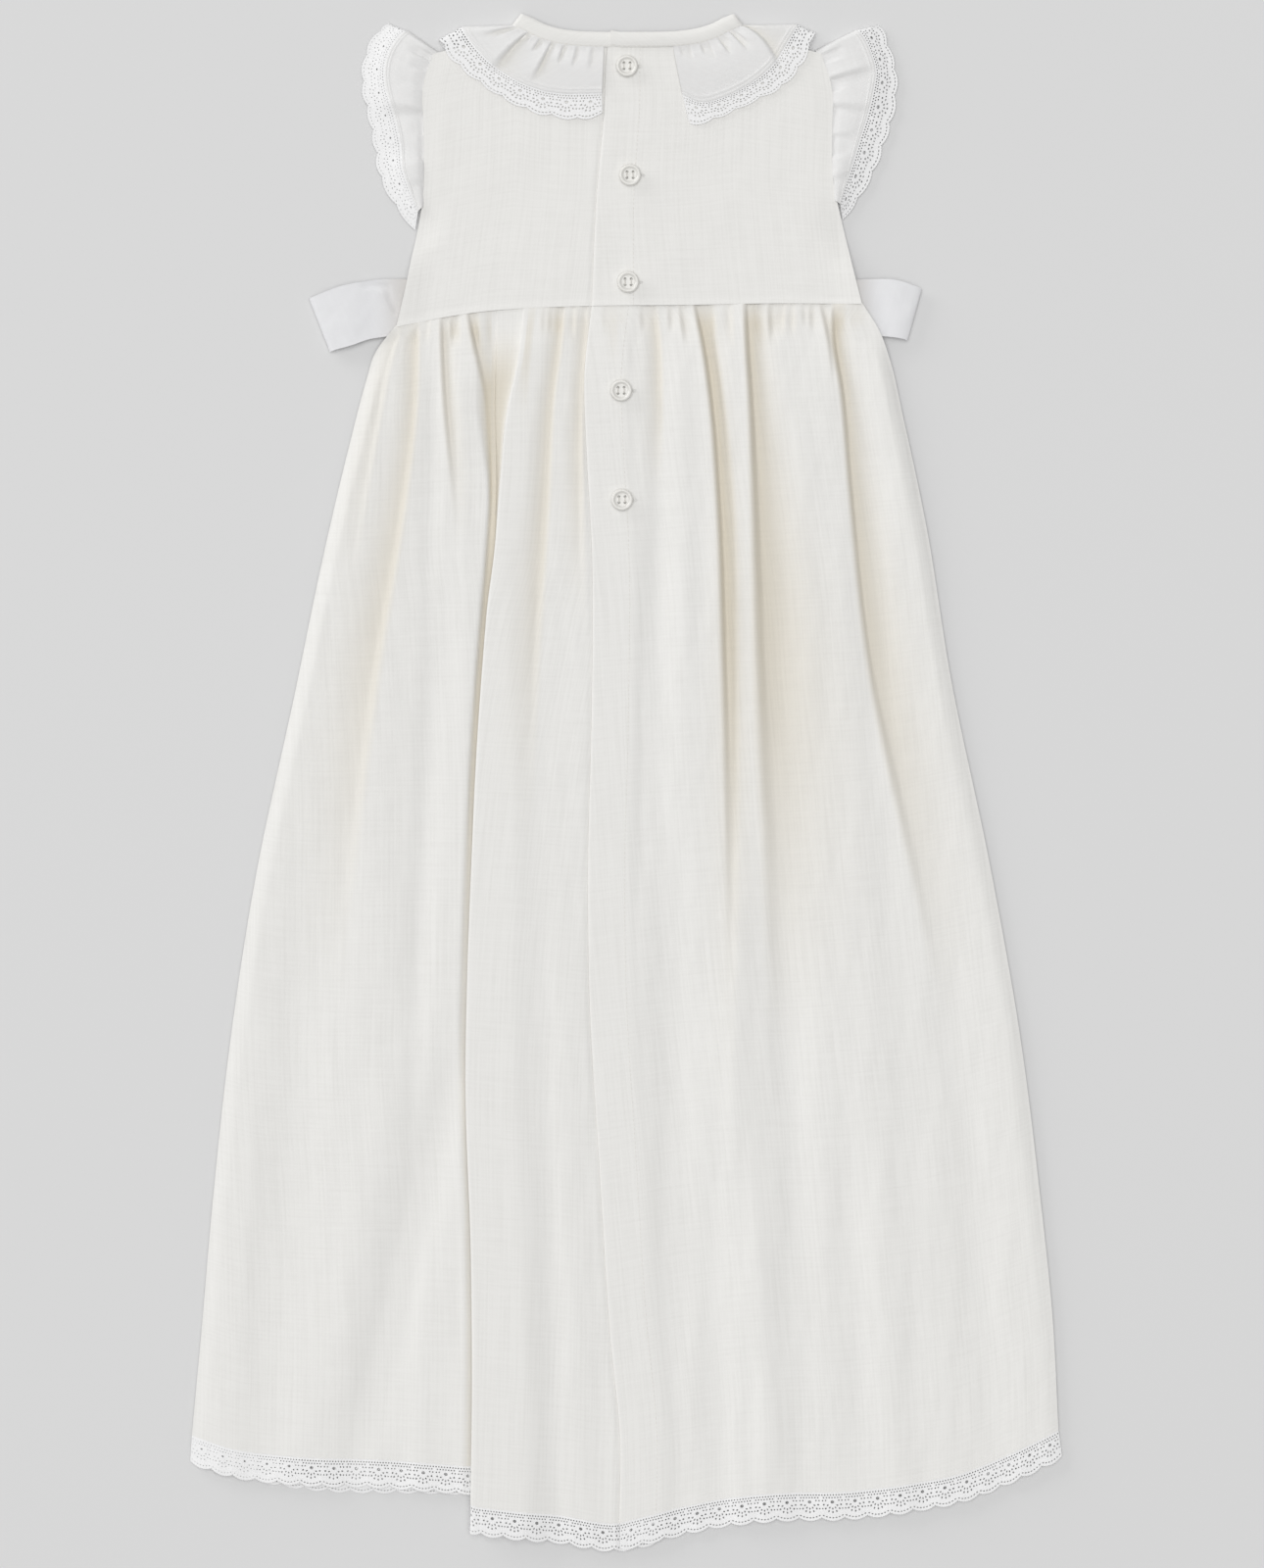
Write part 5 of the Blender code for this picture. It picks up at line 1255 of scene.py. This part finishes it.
COLLAR_RIGHT_CREASES = (
    # station at the seam, its shift by the free edge, depth, width, from, to, side of the valley
    (0.40, 0.0, 0.5, 0.14, 0.0, 0.25, 1), (1.10, 0.0, 0.6, 0.14, 0.0, 0.3, -1),
    (1.72, 0.1, 0.9, 0.14, 0.0, 0.25, 1), (2.35, 0.1, 0.6, 0.16, 0.0, 0.4, -1),
    (3.10, 0.1, 1.2, 0.16, 0.0, 0.42, 1), (3.80, 0.0, 0.6, 0.16, 0.0, 0.25, -1),
    (4.50, -0.5, 1.2, 0.20, 0.0, 0.55, 1), (5.30, -0.9, 0.6, 0.2, 0.0, 0.5, -1),
    (6.75, -1.75, 2.0, 0.24, 0.0, 1.3, 1),
)
FRILL_LEFT_CREASES = (
    # station at the seam, its shift by the free edge, depth, width, from, to, side of the valley
    (1.3, 0.0, 0.5, 0.40, 0.0, 1.2, -1), (2.3, 0.1, 1.4, 0.55, 0.0, 1.5, 1),
    (3.3, 0.0, 0.4, 0.3, 0.0, 0.6, 1), (4.35, -0.1, 1.4, 0.50, 0.0, 1.6, -1),
    (5.4, 0.1, 0.4, 0.35, 0.0, 0.8, 1), (6.4, 0.1, 0.7, 0.28, 0.0, 0.5, 1),
    (7.2, 0.4, 1.0, 0.26, 0.0, 0.7, 1), (8.0, 0.3, 0.6, 0.26, 0.0, 0.6, -1),
)
FRILL_RIGHT_CREASES = (
    # station at the seam, its shift by the free edge, depth, width, from, to, side of the valley
    (1.2, 0.1, 0.6, 0.40, 0.0, 1.3, -1), (2.2, 0.0, 0.6, 0.35, 0.0, 0.9, 1),
    (3.3, -0.2, 0.6, 0.30, 0.0, 1.0, -1), (4.65, -0.45, 1.1, 0.40, 0.0, 1.6, -1),
    (5.3, 0.0, 0.5, 0.25, 0.0, 0.4, 1), (6.0, 0.3, 1.6, 0.35, 0.0, 1.1, -1),
    (7.2, 0.2, 0.7, 0.28, 0.0, 0.5, 1), (8.1, 0.2, 0.7, 0.26, 0.0, 0.6, -1),
)
STRIP_TURN = 0.42  # the stations that a strip takes to turn over its fold
print(len(COLLAR_LEFT_CREASES) + len(COLLAR_RIGHT_CREASES), "creases in the collar")

# %% Strip functions
GATHER_DEPTH = 1.35  # how much deeper the gathers are than the tables say


def collar_rows(table):
    """The rows of a collar table with the point on the neck seam worked out."""
    rows = []
    for layer, x, *rest in table:
        place, inward = neck_place(back_neck if layer >= 0 else front_neck, abs(x))
        sewn = (place - inward * (0.45 if layer >= 0 else 1.0)) * (math.copysign(1.0, x), 1.0)
        rows.append((layer, *sewn, *rest))
    return rows


def strip_rails(rows, at):
    """A strip's layer and its two edges at stations along it, smoothed on each side of its fold."""
    fold = [row[0] for row in rows].index(0.0)
    back = through(numbered(rows[: fold + 1]), at)[:, 1:]
    front = through(numbered(rows[fold:], fold), at)[:, 1:]
    from_fold = np.clip(np.abs(at - fold) / STRIP_TURN, 0.0, 1.0)
    layer = np.sign(fold - at) * np.sqrt(1.0 - (1.0 - from_fold) ** 2)
    return layer, np.where((at < fold)[:, None], back, front)


def strip_creases(creases, at, across):
    """The relief of the gathers of a strip, in millimetres."""
    relief = np.zeros(np.broadcast(at, across).shape)
    for station, shift, depth, width, start, stop, side in creases:
        shown = (1.0 - ease(0.55 * stop, stop, across)) * (0.5 + 0.5 * ease(start, start + 0.12, across))
        away = side * (at - station - shift * across) / (width * (1.0 + 1.2 * np.clip(across, 0.0, 1.5)))
        into_valley = ease(-0.35, 0.35, away)
        valley = into_valley * np.exp(-np.maximum(away - 0.35, 0.0))
        ridge = (1.0 - into_valley) * np.exp(-0.8 * np.maximum(-away, 0.0))
        relief += GATHER_DEPTH * depth * shown * (0.45 * ridge - 0.75 * valley)
    return relief


def strip_level(layer, at, across, sewn, free, creases):
    """How high a strip lies: it rises from its seam to its free edge, with the gathers' relief."""
    relief = strip_creases(creases, at, across) * ease(-0.05, 0.15, across) * ease(0.3, 1.0, layer)
    crown = 0.9 * np.sin(math.pi * np.clip(across, 0.0, 1.0)) * ease(0.5, 1.0, layer)
    header = 0.28 * (hump(0.915, 0.022, across) + hump(0.975, 0.022, across)) * ease(0.5, 1.0, layer)
    top = blend(sewn, free, ease(0.0, 0.35, across)) + crown + relief + header
    return FLOOR_LEVEL + (top - FLOOR_LEVEL) * (layer + 1.0) / 2.0


def strip_columns(rows, spacing):
    """Stations spacing millimetres apart and closer round the fold, and the free edge's run."""
    fine = np.linspace(0.0, len(rows) - 1.0, 1500)
    edge = strip_rails(rows, fine)[1][:, 2:4]
    run = run_along(edge)
    at = np.interp(np.linspace(0.0, run[-1], int(run[-1] / spacing)), run, fine)
    fold = [row[0] for row in rows].index(0.0)
    quarter = STRIP_TURN * (1.0 - np.cos(np.linspace(0.0, math.pi / 2, 13)))
    at = at[np.abs(at - fold) > STRIP_TURN + 0.02]
    at = np.sort(np.concatenate([at, fold - quarter, fold + quarter[1:]]))
    return at, run, fine


def strip_grid(rows, at, across, shape, tucked):
    """A strip's points, its seam tucked under by some millimetres."""
    layer, rails = strip_rails(rows, at)
    across = np.array(across)[:, None]
    sewn, free = rails[:, 0:2], rails[:, 2:4]
    tuck = (sewn - free) / np.linalg.norm(sewn - free, axis=1)[:, None] * tucked
    sewn = sewn + tuck
    plan = sewn[None] + (free - sewn)[None] * across[..., None]
    level = strip_level(layer, at, across, *shape)
    return np.concatenate([plan, level[..., None]], axis=-1)


def strip_lace(rows, shape, run, fine, lowest):
    """The function that places lace along a strip's free edge, its border sunk towards the lowest level."""

    def place(along, across):
        at = np.interp(along, run, fine)
        layer, rails = strip_rails(rows, at)
        free, outer = rails[:, 2:4], rails[:, 4:6]
        share = across / LACE
        tuck = HEADER_TUCK / LACE * (1.0 - share)
        plan = free + (outer - free) * (share - tuck)[:, None]
        level = strip_level(layer, at, 1.0 + 0.4 * share, *shape)
        level = level - 0.25 * layer * (1.0 - ease(0.4, 2.4, across))
        sunk = lowest + 0.25 * (level - lowest)
        level = level + (sunk - level) * ease(0.0, 0.9, share) * ease(0.2, 1.0, layer)
        return np.concatenate([plan, level[:, None]], axis=1)

    return place


print("left collar's free edge:", round(strip_columns(collar_rows(COLLAR_LEFT), 1.0)[1][-1]), "mm")

# %% Collar halves and frills
COLLAR_SEAM = BACK_LEVEL + 0.65
COLLAR_FREE = BACK_LEVEL + 1.15
COLLAR_LACE = BACK_LEVEL + 0.95
FRILL_SEAM = float(side_level(350.0)) - 0.6
FRILL_FREE = float(side_level(350.0)) + 0.2
FRILL_LACE = 0.7
STRIP_SPACING = 0.9
STRIP_ROWS = np.concatenate([np.linspace(0.0, 0.86, 24), np.linspace(0.88, 1.0, 13)])
for side, table, creases, bodice in (
    ("left", COLLAR_LEFT, COLLAR_LEFT_CREASES, left_bodice),
    ("right", COLLAR_RIGHT, COLLAR_RIGHT_CREASES, right_bodice),
):
    rows = collar_rows(table)
    shape = (COLLAR_SEAM, COLLAR_FREE, creases)
    at, run, fine = strip_columns(rows, STRIP_SPACING)
    grid = strip_grid(rows, at, STRIP_ROWS, shape, tucked=0.3)
    # painted shade in the valleys of the collar's gathers, deeper where they are deeper
    painted_shade = np.clip(-0.45 * strip_creases(creases, at, STRIP_ROWS[:, None]), 0.0, 0.6)
    collar = sheet_of(f"{side}_collar", grid, FRILL_COTTON, painted_shade)
    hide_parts(f"collar_{side}")
    declare(grid)
    place = strip_lace(rows, shape, run, fine, COLLAR_LACE)
    lace_piece(f"{side}_collar_lace", run[-1], place, f"collar_lace_{side}")
for side, rows, creases, shut in (
    ("left", FRILL_LEFT, FRILL_LEFT_CREASES, 11),
    ("right", FRILL_RIGHT, FRILL_RIGHT_CREASES, 0),
):
    shape = (FRILL_SEAM, FRILL_FREE, creases)
    at, run, fine = strip_columns(rows, STRIP_SPACING)
    grid = strip_grid(rows, at, STRIP_ROWS, shape, tucked=1.8)
    frill = sheet_of(f"{side}_armhole_frill", grid, FRILL_COTTON)
    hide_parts(f"sleeve_frill_{side}")
    declare(grid)
    place = strip_lace(rows, shape, run, fine, FRILL_LACE)
    lace_piece(f"{side}_frill_lace", run[-1], place, f"sleeve_lace_{side}", shut)

# %% [markdown]
# ## Neckband
#
# A bias strip binds the neck. It starts beneath the right back, runs over the left shoulder, round the
# front and over the right shoulder, and ends on top of its own start. It is padded by the seam
# allowances inside it, so its section is slightly domed.

# %% Neckband
NECKBAND_BACK = BACK_LEVEL + 0.3  # level of its seam on the back
NECKBAND_FRONT = 0.9  # and on the front
BAND_ROUND = 1.9  # radius of its turn at the shoulder
BAND_TUCK = 0.7  # how far it starts beneath the collar
BAND_THICKNESS = 0.6


def neckband_track(spacing):
    """Places along the neck seam, each with the direction to the neck opening and a level."""
    halves = []
    round_from = NECK_TURN[0] - BAND_ROUND
    angles = np.linspace(math.pi / 2, -math.pi / 2, 17)
    turn = [(round_from + BAND_ROUND * math.cos(a), math.sin(a)) for a in angles]
    for side, end in ((-1.0, BAND_END_LEFT), (1.0, BAND_END_RIGHT)):
        back = [(x, 1.0) for x in np.arange(end * side, NECK_HALF, spacing)]
        front = [(x, -1.0) for x in np.arange(NECK_HALF, 0.0, -spacing)] + [(0.0, -1.0)]
        half = []
        for x, layer in back + turn + front:
            place, inward = neck_place(back_neck if layer >= 0 else front_neck, x)
            if side > 0 and layer == 1.0:
                place = place + inward * 0.9 * (1.0 - float(ease(end * side, end * side + 5.0, x)))
            level = NECKBAND_FRONT + (NECKBAND_BACK - NECKBAND_FRONT) * (layer + 1.0) / 2.0
            if side > 0 and layer == 1.0:
                level += right_over_left(x)
            half.append((place * (side, 1.0), inward * (side, 1.0), level))
        halves.append(half)
    left, right = halves
    return left + right[-2::-1]


BAND_SECTION = (
    # share of the width from the seam up, height
    (0.0, 0.62), (0.06, 0.92), (0.2, 1.25), (0.5, 1.55), (0.8, 1.3), (0.93, 0.8), (1.0, 0.15),
)
track = neckband_track(1.3)
band_rows = []
for share in (0.0, 0.05, 0.12, 0.2, 0.3, 0.4, 0.5, 0.6, 0.7, 0.8, 0.88, 0.94, 1.0):
    away = -BAND_TUCK + (BAND_WIDTH + BAND_TUCK) * share
    swell = float(through(BAND_SECTION, share))
    row = []
    for place, inward, level in track:
        back = (level - NECKBAND_FRONT) / (NECKBAND_BACK - NECKBAND_FRONT)
        row.append((*(place + inward * away), level + (swell - 0.3) * back))
    band_rows.append(row)
band_grid = np.array(band_rows)
neckband = sheet_of("neckband_strip", band_grid, LINEN, thickness=BAND_THICKNESS)
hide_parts("neckband")
declare(band_grid)

# %% [markdown]
# ## Ribbon loops
#
# A white ribbon is caught in each side seam at the waist, goes out, is folded back on itself and is
# caught again on top, so a short loop lies at each side.

# %% Ribbons
RIBBON_LEFT = (
    # upper edge x, y, lower edge x, y, level
    (-112.0, 266.6, -117.6, 238.6, 1.8), (-121.0, 267.2, -127.0, 237.6, 1.7),
    (-134.0, 266.4, -137.2, 236.2, 0.7), (-151.0, 263.2, -146.4, 232.6, 0.6),
    (-165.8, 258.0, -155.4, 230.2, 0.7), (-168.6, 257.0, -157.6, 229.0, 2.1),
    (-165.0, 258.8, -155.0, 230.0, 3.7), (-151.0, 264.0, -146.0, 232.4, 4.2),
    (-134.0, 267.0, -137.0, 235.6, 3.3), (-121.0, 267.6, -126.8, 237.2, 3.1),
    (-112.0, 267.0, -117.4, 238.2, 3.1),
)
RIBBON_RIGHT = (
    # upper edge x, y, lower edge x, y, level
    (115.0, 266.2, 120.6, 238.2, 1.8), (122.4, 266.6, 128.0, 237.8, 1.7),
    (130.6, 266.8, 135.6, 237.6, 0.7), (142.0, 266.0, 141.4, 237.0, 0.6),
    (152.8, 263.0, 146.2, 236.4, 0.7), (155.8, 262.4, 148.2, 235.0, 2.1),
    (152.4, 263.8, 146.0, 235.8, 3.7), (142.0, 267.0, 141.2, 236.6, 4.0),
    (130.6, 267.6, 135.2, 237.2, 3.1), (122.4, 267.2, 127.8, 237.4, 3.1),
    (115.0, 266.8, 120.4, 238.0, 3.1),
)
# the left ribbon is pinched where it is caught, and a crease runs down beside the bodice
PINCH = ((-139.0, 264.2), (-127.6, 263.4), (-125.6, 256.4), (-122.8, 250.6))
PINCH_DEPTH, PINCH_WIDTH = 0.9, 1.8
RIBBON_THICKNESS = 0.35


def distance_to(line, grid):
    """How far each point of a grid lies from a line of straight stretches, seen from above."""
    place, nearest = grid[..., :2], np.full(grid.shape[:2], np.inf)
    for start, end in zip(np.array(line[:-1]), np.array(line[1:])):
        run = end - start
        share = np.clip(((place - start) @ run) / (run @ run), 0.0, 1.0)
        nearest = np.minimum(nearest, np.linalg.norm(place - start - share[..., None] * run, axis=-1))
    return nearest


def ribbon_grid(rows, columns, across, seed):
    """A ribbon's points between its two edges, its upper layer a little uneven."""
    rails = through(numbered(rows), np.linspace(0.0, len(rows) - 1.0, columns))
    share = np.linspace(0.0, 1.0, across)[:, None]
    x, y = blend(rails[:, 0], rails[:, 2], share), blend(rails[:, 1], rails[:, 3], share)
    upper = ease(2.5, 3.6, rails[:, 4])
    soft = 0.30 * ripple(x, y, seed, 26.0) * upper * ease(118.0, 134.0, np.abs(x))
    return np.stack([x, y, rails[:, 4] + soft], axis=-1)


for side, rows, seed in (("left", RIBBON_LEFT, 51), ("right", RIBBON_RIGHT, 61)):
    grid = ribbon_grid(rows, columns=100, across=30, seed=seed)
    if side == "left":
        upper_layer = ease(2.5, 3.0, grid[..., 2])
        crease = np.exp(-(distance_to(PINCH, grid) / PINCH_WIDTH) ** 2)
        grid[..., 2] -= PINCH_DEPTH * upper_layer * crease
    # painted shadow: each ribbon is darkened towards its painted shade colour next to the bodice, fading
    # out from 116 to 136 mm off the middle
    painted_seam_shadow = 1.0 - ease(116.0, 136.0, np.abs(grid[..., 0]))
    ribbon = sheet_of(f"{side}_ribbon", grid, RIBBON_SILK, painted_seam_shadow, RIBBON_THICKNESS)
    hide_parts(f"ribbon_{side}")
    declare(grid)

# %% [markdown]
# ## Buttons
#
# Each button is a low disc with a raised rim and four needle holes, turned from a pearly plastic. The
# profile is revolved with a Screw modifier and the holes are cut by Booleans, which gives clean round
# walls. Two threads cross the dish between the holes.

# %% Button material


def button_material():
    """A clouded, slightly glossy plastic."""
    made, tree, shader = new_material(
        "pearly button", Roughness=0.3, Coat_Weight=0.3, Coat_Roughness=0.12)
    place = wire(tree, "ShaderNodeTexCoord").outputs["Object"]
    cloud = wire(tree, "ShaderNodeTexNoise", {"Vector": place}, Scale=260.0, Detail=3.0, Distortion=1.2)
    tint = wire(tree, "ShaderNodeMix", {"Factor": cloud.outputs["Fac"]}, data_type="RGBA")
    tint.inputs["A"].default_value = (0.69, 0.675, 0.635, 1.0)
    tint.inputs["B"].default_value = (0.80, 0.79, 0.76, 1.0)
    tree.links.new(tint.outputs["Result"], shader.inputs["Base Color"])
    return made


BUTTON_PEARL = button_material()
print("button material:", BUTTON_PEARL.name)

# %% Button shape
BUTTON_THICK = 2.6
BUTTON_DISH = 0.85  # how deep its dish is
HOLE_PITCH = 3.2
HOLE_RADIUS = 0.75


def button_profile():
    """Radius and height of the turned profile, in millimetres, from the dish's middle round to below."""
    r, dish, top = BUTTON_ACROSS / 2, BUTTON_THICK - BUTTON_DISH, BUTTON_THICK
    return (
        (0.0, dish - 0.05), (r - 2.7, dish), (r - 2.1, dish + 0.08), (r - 1.7, dish + 0.42),
        (r - 1.35, top - 0.12), (r - 1.0, top), (r - 0.6, top - 0.03), (r - 0.22, top - 0.28),
        (r, top - 0.8), (r - 0.02, 1.1), (r - 0.5, 0.5), (r - 1.6, 0.05), (0.0, 0.0),
    )


def matrix_at(x, y, level):
    return Matrix.Translation(((x - ORIGIN[0]) * MM, (y - ORIGIN[1]) * MM, (level - ORIGIN[2]) * MM))


def turned_button(name, x, y, level):
    """A button with its underside on the given level."""
    mesh = bpy.data.meshes.new(name)
    profile = button_profile()
    edges = [(i, i + 1) for i in range(len(profile) - 1)]
    mesh.from_pydata([(a * MM, 0.0, b * MM) for a, b in profile], edges, [])
    blank = add_object(name, mesh)
    turn = blank.modifiers.new("Turned", "SCREW")
    turn.steps = turn.render_steps = 64
    turn.use_merge_vertices = True
    turn.merge_threshold = 0.00001
    made = bmesh.new()
    for sign_x in (-1, 1):
        for sign_y in (-1, 1):
            rod = bmesh.ops.create_cone(
                made, cap_ends=True, segments=24, depth=9.0 * MM,
                radius1=HOLE_RADIUS * MM, radius2=HOLE_RADIUS * MM)
            shift = (sign_x * HOLE_PITCH / 2 * MM, sign_y * HOLE_PITCH / 2 * MM, 0.0)
            bmesh.ops.translate(made, verts=rod["verts"], vec=shift)
    drill_mesh = bpy.data.meshes.new("drill")
    made.to_mesh(drill_mesh)
    made.free()
    drill = add_object("drill", drill_mesh)
    cut = blank.modifiers.new("Holes", "BOOLEAN")
    cut.object = drill
    cut.operation = "DIFFERENCE"
    bpy.context.view_layer.update()
    ready = bpy.data.meshes.new_from_object(blank.evaluated_get(bpy.context.evaluated_depsgraph_get()))
    for part in (blank, drill):
        bpy.data.objects.remove(part)
    ready.materials.clear()
    ready.materials.append(BUTTON_PEARL)
    ready.transform(matrix_at(x, y, level))
    ready.shade_smooth()
    ready.set_sharp_from_angle(angle=math.radians(50.0))
    button = add_object(name, ready)
    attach(button, "root")
    return button


def surface_level(x, y):
    """The level of the right back at the point of its bodice or skirt nearest to x, y."""
    flat = (right_bodice_grid if y > waist(x) else right_grid).reshape(-1, 3)
    return float(flat[np.hypot(flat[:, 0] - x, flat[:, 1] - y).argmin(), 2])


button_levels = []
for index, (x, y) in enumerate(BUTTONS, start=1):
    level = surface_level(x, y) + CLOTH / 2 + 0.1
    button_levels.append(level)
    button = turned_button(f"turned_button_{index}", x, y, level)
    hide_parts(f"button_{index}")
    faces = len(button.data.polygons)
    print(f"button {index} at {x:.0f}, {y:.0f}, underside {level:.1f} mm up, {faces} faces")

# %% [markdown]
# ## Sewing
#
# Thread is what makes cloth pieces a garment: topstitching along the neckband, the line that holds the
# placket's turned edge, worked buttonholes and the threads of the buttons.
# Each stitch is a tiny six-sided grain lying on the cloth, and each line of them is one joined mesh.

# %% Stitches
STITCH_SECTION = ((0.0, 0.0), (0.18, 0.8), (0.5, 1.0), (0.82, 0.8), (1.0, 0.0))  # share along, swell
STITCH_SIDES = 6
STITCH_HEIGHT = 0.22


def stitches(name, starts, ends, width, height, finish=THREAD):
    """A joined mesh of stitches, each a rounded grain from a start point to an end point."""
    sides = STITCH_SIDES
    starts, ends = np.array(starts, float), np.array(ends, float)
    points, faces = [], []
    for start, end in zip(starts, ends):
        along = end - start
        length = np.linalg.norm(along)
        along = along / length
        side = np.cross(along, (0.0, 0.0, 1.0))
        side = side / np.linalg.norm(side)
        up = np.cross(side, along)
        base = len(points)
        for share, swell in STITCH_SECTION:
            for k in range(sides):
                a = 2.0 * math.pi * k / sides
                wide, high = 0.5 * width * swell * math.cos(a), 0.5 * height * swell * math.sin(a)
                points.append(start + along * length * share + side * wide + up * high)
        for row in range(len(STITCH_SECTION) - 1):
            for k in range(sides):
                a, b = base + row * sides + k, base + row * sides + (k + 1) % sides
                faces.append((a, b, b + sides, a + sides))
    points = np.array(points)
    new_piece(name, points, faces, finish, points[:, :2] * MM)
    print(f"{name}: {len(starts)} stitches")


def stitch_line(name, line, pitch, length, width, lift):
    """Stitches along a polyline that already lies on the cloth."""
    run = run_along(line)
    firsts = np.arange(0.5 * (pitch - length), run[-1] - length, pitch)
    rise = np.array((0.0, 0.0, lift))
    starts, ends = at_distance(line, run, firsts) + rise, at_distance(line, run, firsts + length) + rise
    stitches(name, starts, ends, width, STITCH_HEIGHT)


# %% Topstitching
ON_CLOTH = CLOTH / 2 + 0.02
back_part = [i for i, (_, _, level) in enumerate(track) if level > NECKBAND_BACK - 0.4]
left_run = [i for i in back_part if track[i][0][0] < 9.0 and i < len(track) // 2]
right_run = [i for i in back_part if i > len(track) // 2]
for name, chosen in (("neckband_stitching_left", left_run), ("neckband_stitching_right", right_run)):
    stitch_line(name, band_grid[1][chosen], pitch=2.6, length=2.0, width=0.34, lift=0.34)
row_x = right_bodice_grid[60, :, 0]  # a row half-way up the bodice
column = int(np.argmin(np.abs(row_x - row_x[0] - UNDERLAP + 1.0)))
line = right_bodice_grid[:, column]
stitch_line("placket_stitching", line, pitch=2.4, length=1.8, width=0.28, lift=ON_CLOTH)
line = []
for row in right_grid:
    away = row[:, 0] - row[0, 0] - UNDERLAP + 1.0
    line.append([np.interp(0.0, away, row[:, k]) for k in range(3)])
stitch_line("placket_stitching_below", np.array(line), pitch=2.4, length=1.8, width=0.26, lift=ON_CLOTH)

# %% Buttonholes and button threads
hole_starts, hole_ends, thread_starts, thread_ends = [], [], [], []
for (x, y), level in zip(BUTTONS, button_levels):
    rim = x + BUTTON_ACROSS / 2
    for place_x in np.arange(rim - 1.0, rim + 2.2, 0.5):
        reach = 1.2 if place_x < rim + 1.7 else 0.9
        on_cloth = surface_level(place_x, y) + CLOTH / 2 + 0.05
        hole_starts.append((place_x, y - reach, on_cloth))
        hole_ends.append((place_x, y + reach, on_cloth))
    dish = level + BUTTON_THICK - BUTTON_DISH
    for offset in (-HOLE_PITCH / 2, HOLE_PITCH / 2):
        for shift in (-0.2, 0.2):
            thread_starts.append((x + offset + shift, y - HOLE_PITCH / 2 - 0.1, dish + 0.08))
            thread_ends.append((x + offset + shift, y + HOLE_PITCH / 2 + 0.1, dish + 0.08))
stitches("buttonhole_stitching", hole_starts, hole_ends, 0.52, 0.14, LINEN)
stitches("button_threads", thread_starts, thread_ends, 0.42, 0.42)

# %% [markdown]
# ## Surface, light and camera
#
# The photograph looks straight down at a pale grey surface. Its light is broad and soft and comes from
# the upper left: shadows fall a few millimetres to the right and below. A large low panel gives those
# shadows, a larger one overhead fills them, and an even sky keeps the folds bright. Small lamps would
# give hard edges, and a sky alone would leave the folds without form.

# %% Surface
SURFACE_REACH = 4.0  # metres to each side
SURFACE_DROP = 0.0002  # it lies this little below the cloth, so that no two faces share a plane
surface_mesh = bpy.data.meshes.new("surface")
corners = [(x * SURFACE_REACH, y * SURFACE_REACH, 0) for x, y in ((-1, -1), (1, -1), (1, 1), (-1, 1))]
surface_mesh.from_pydata(corners, [], [(0, 1, 2, 3)])
surface = add_object("surface", surface_mesh)
surface.location.z = -SURFACE_DROP
paper, _, _ = new_material(
    "pale grey surface", Base_Color=(0.70, 0.70, 0.70, 1.0), Roughness=0.9, Specular_IOR_Level=0.1)
surface_mesh.materials.append(paper)

# %% Light
LOW_PANEL_WATTS = 540.0
OVERHEAD_WATTS = 332.0
SKY_STRENGTH = 0.31


def panel_light(name, place, width, height, power):
    """A rectangular light panel at a place, turned to the gown's middle."""
    lamp = bpy.data.lights.new(name, "AREA")
    lamp.shape = "RECTANGLE"
    lamp.size, lamp.size_y = width, height
    lamp.energy = power
    holder = add_object(name, lamp)
    holder.location = place
    holder.rotation_euler = (-Vector(place)).to_track_quat("-Z", "Y").to_euler()


panel_light("low panel", (-8.8, 6.8, 2.2), 9.0, 3.8, LOW_PANEL_WATTS)
panel_light("overhead panel", (-0.3, 0.3, 6.5), 6.5, 6.5, OVERHEAD_WATTS)
world = bpy.data.worlds.new("even sky")
world.use_nodes = True
sky = world.node_tree.nodes["Background"].inputs
sky["Color"].default_value = (1.0, 1.0, 1.0, 1.0)
sky["Strength"].default_value = SKY_STRENGTH
bpy.context.scene.world = world
bpy.context.scene.view_settings.view_transform = "Standard"

# %% Camera
CAMERA_HEIGHT = 2.2  # metres
SENSOR = 36.0
CENTRE_COLUMN = 640.5  # the pixel column of the photograph where x is 0 in the tables
FRAME_HEIGHT = PHOTO_DOWN * PHOTO_PIXEL * MM
lens = bpy.data.cameras.new("camera")
lens.sensor_fit = "VERTICAL"
lens.sensor_height = SENSOR
lens.lens = SENSOR * CAMERA_HEIGHT / FRAME_HEIGHT
camera = add_object("camera", lens)
camera_x = (PHOTO_ACROSS / 2 - CENTRE_COLUMN) * PHOTO_PIXEL * MM - ORIGIN[0] * MM
camera.location = (camera_x, -ORIGIN[1] * MM, CAMERA_HEIGHT)
bpy.context.scene.camera = camera
print("the frame is", round(PHOTO_ACROSS * PHOTO_PIXEL), "x", round(PHOTO_DOWN * PHOTO_PIXEL), "mm")
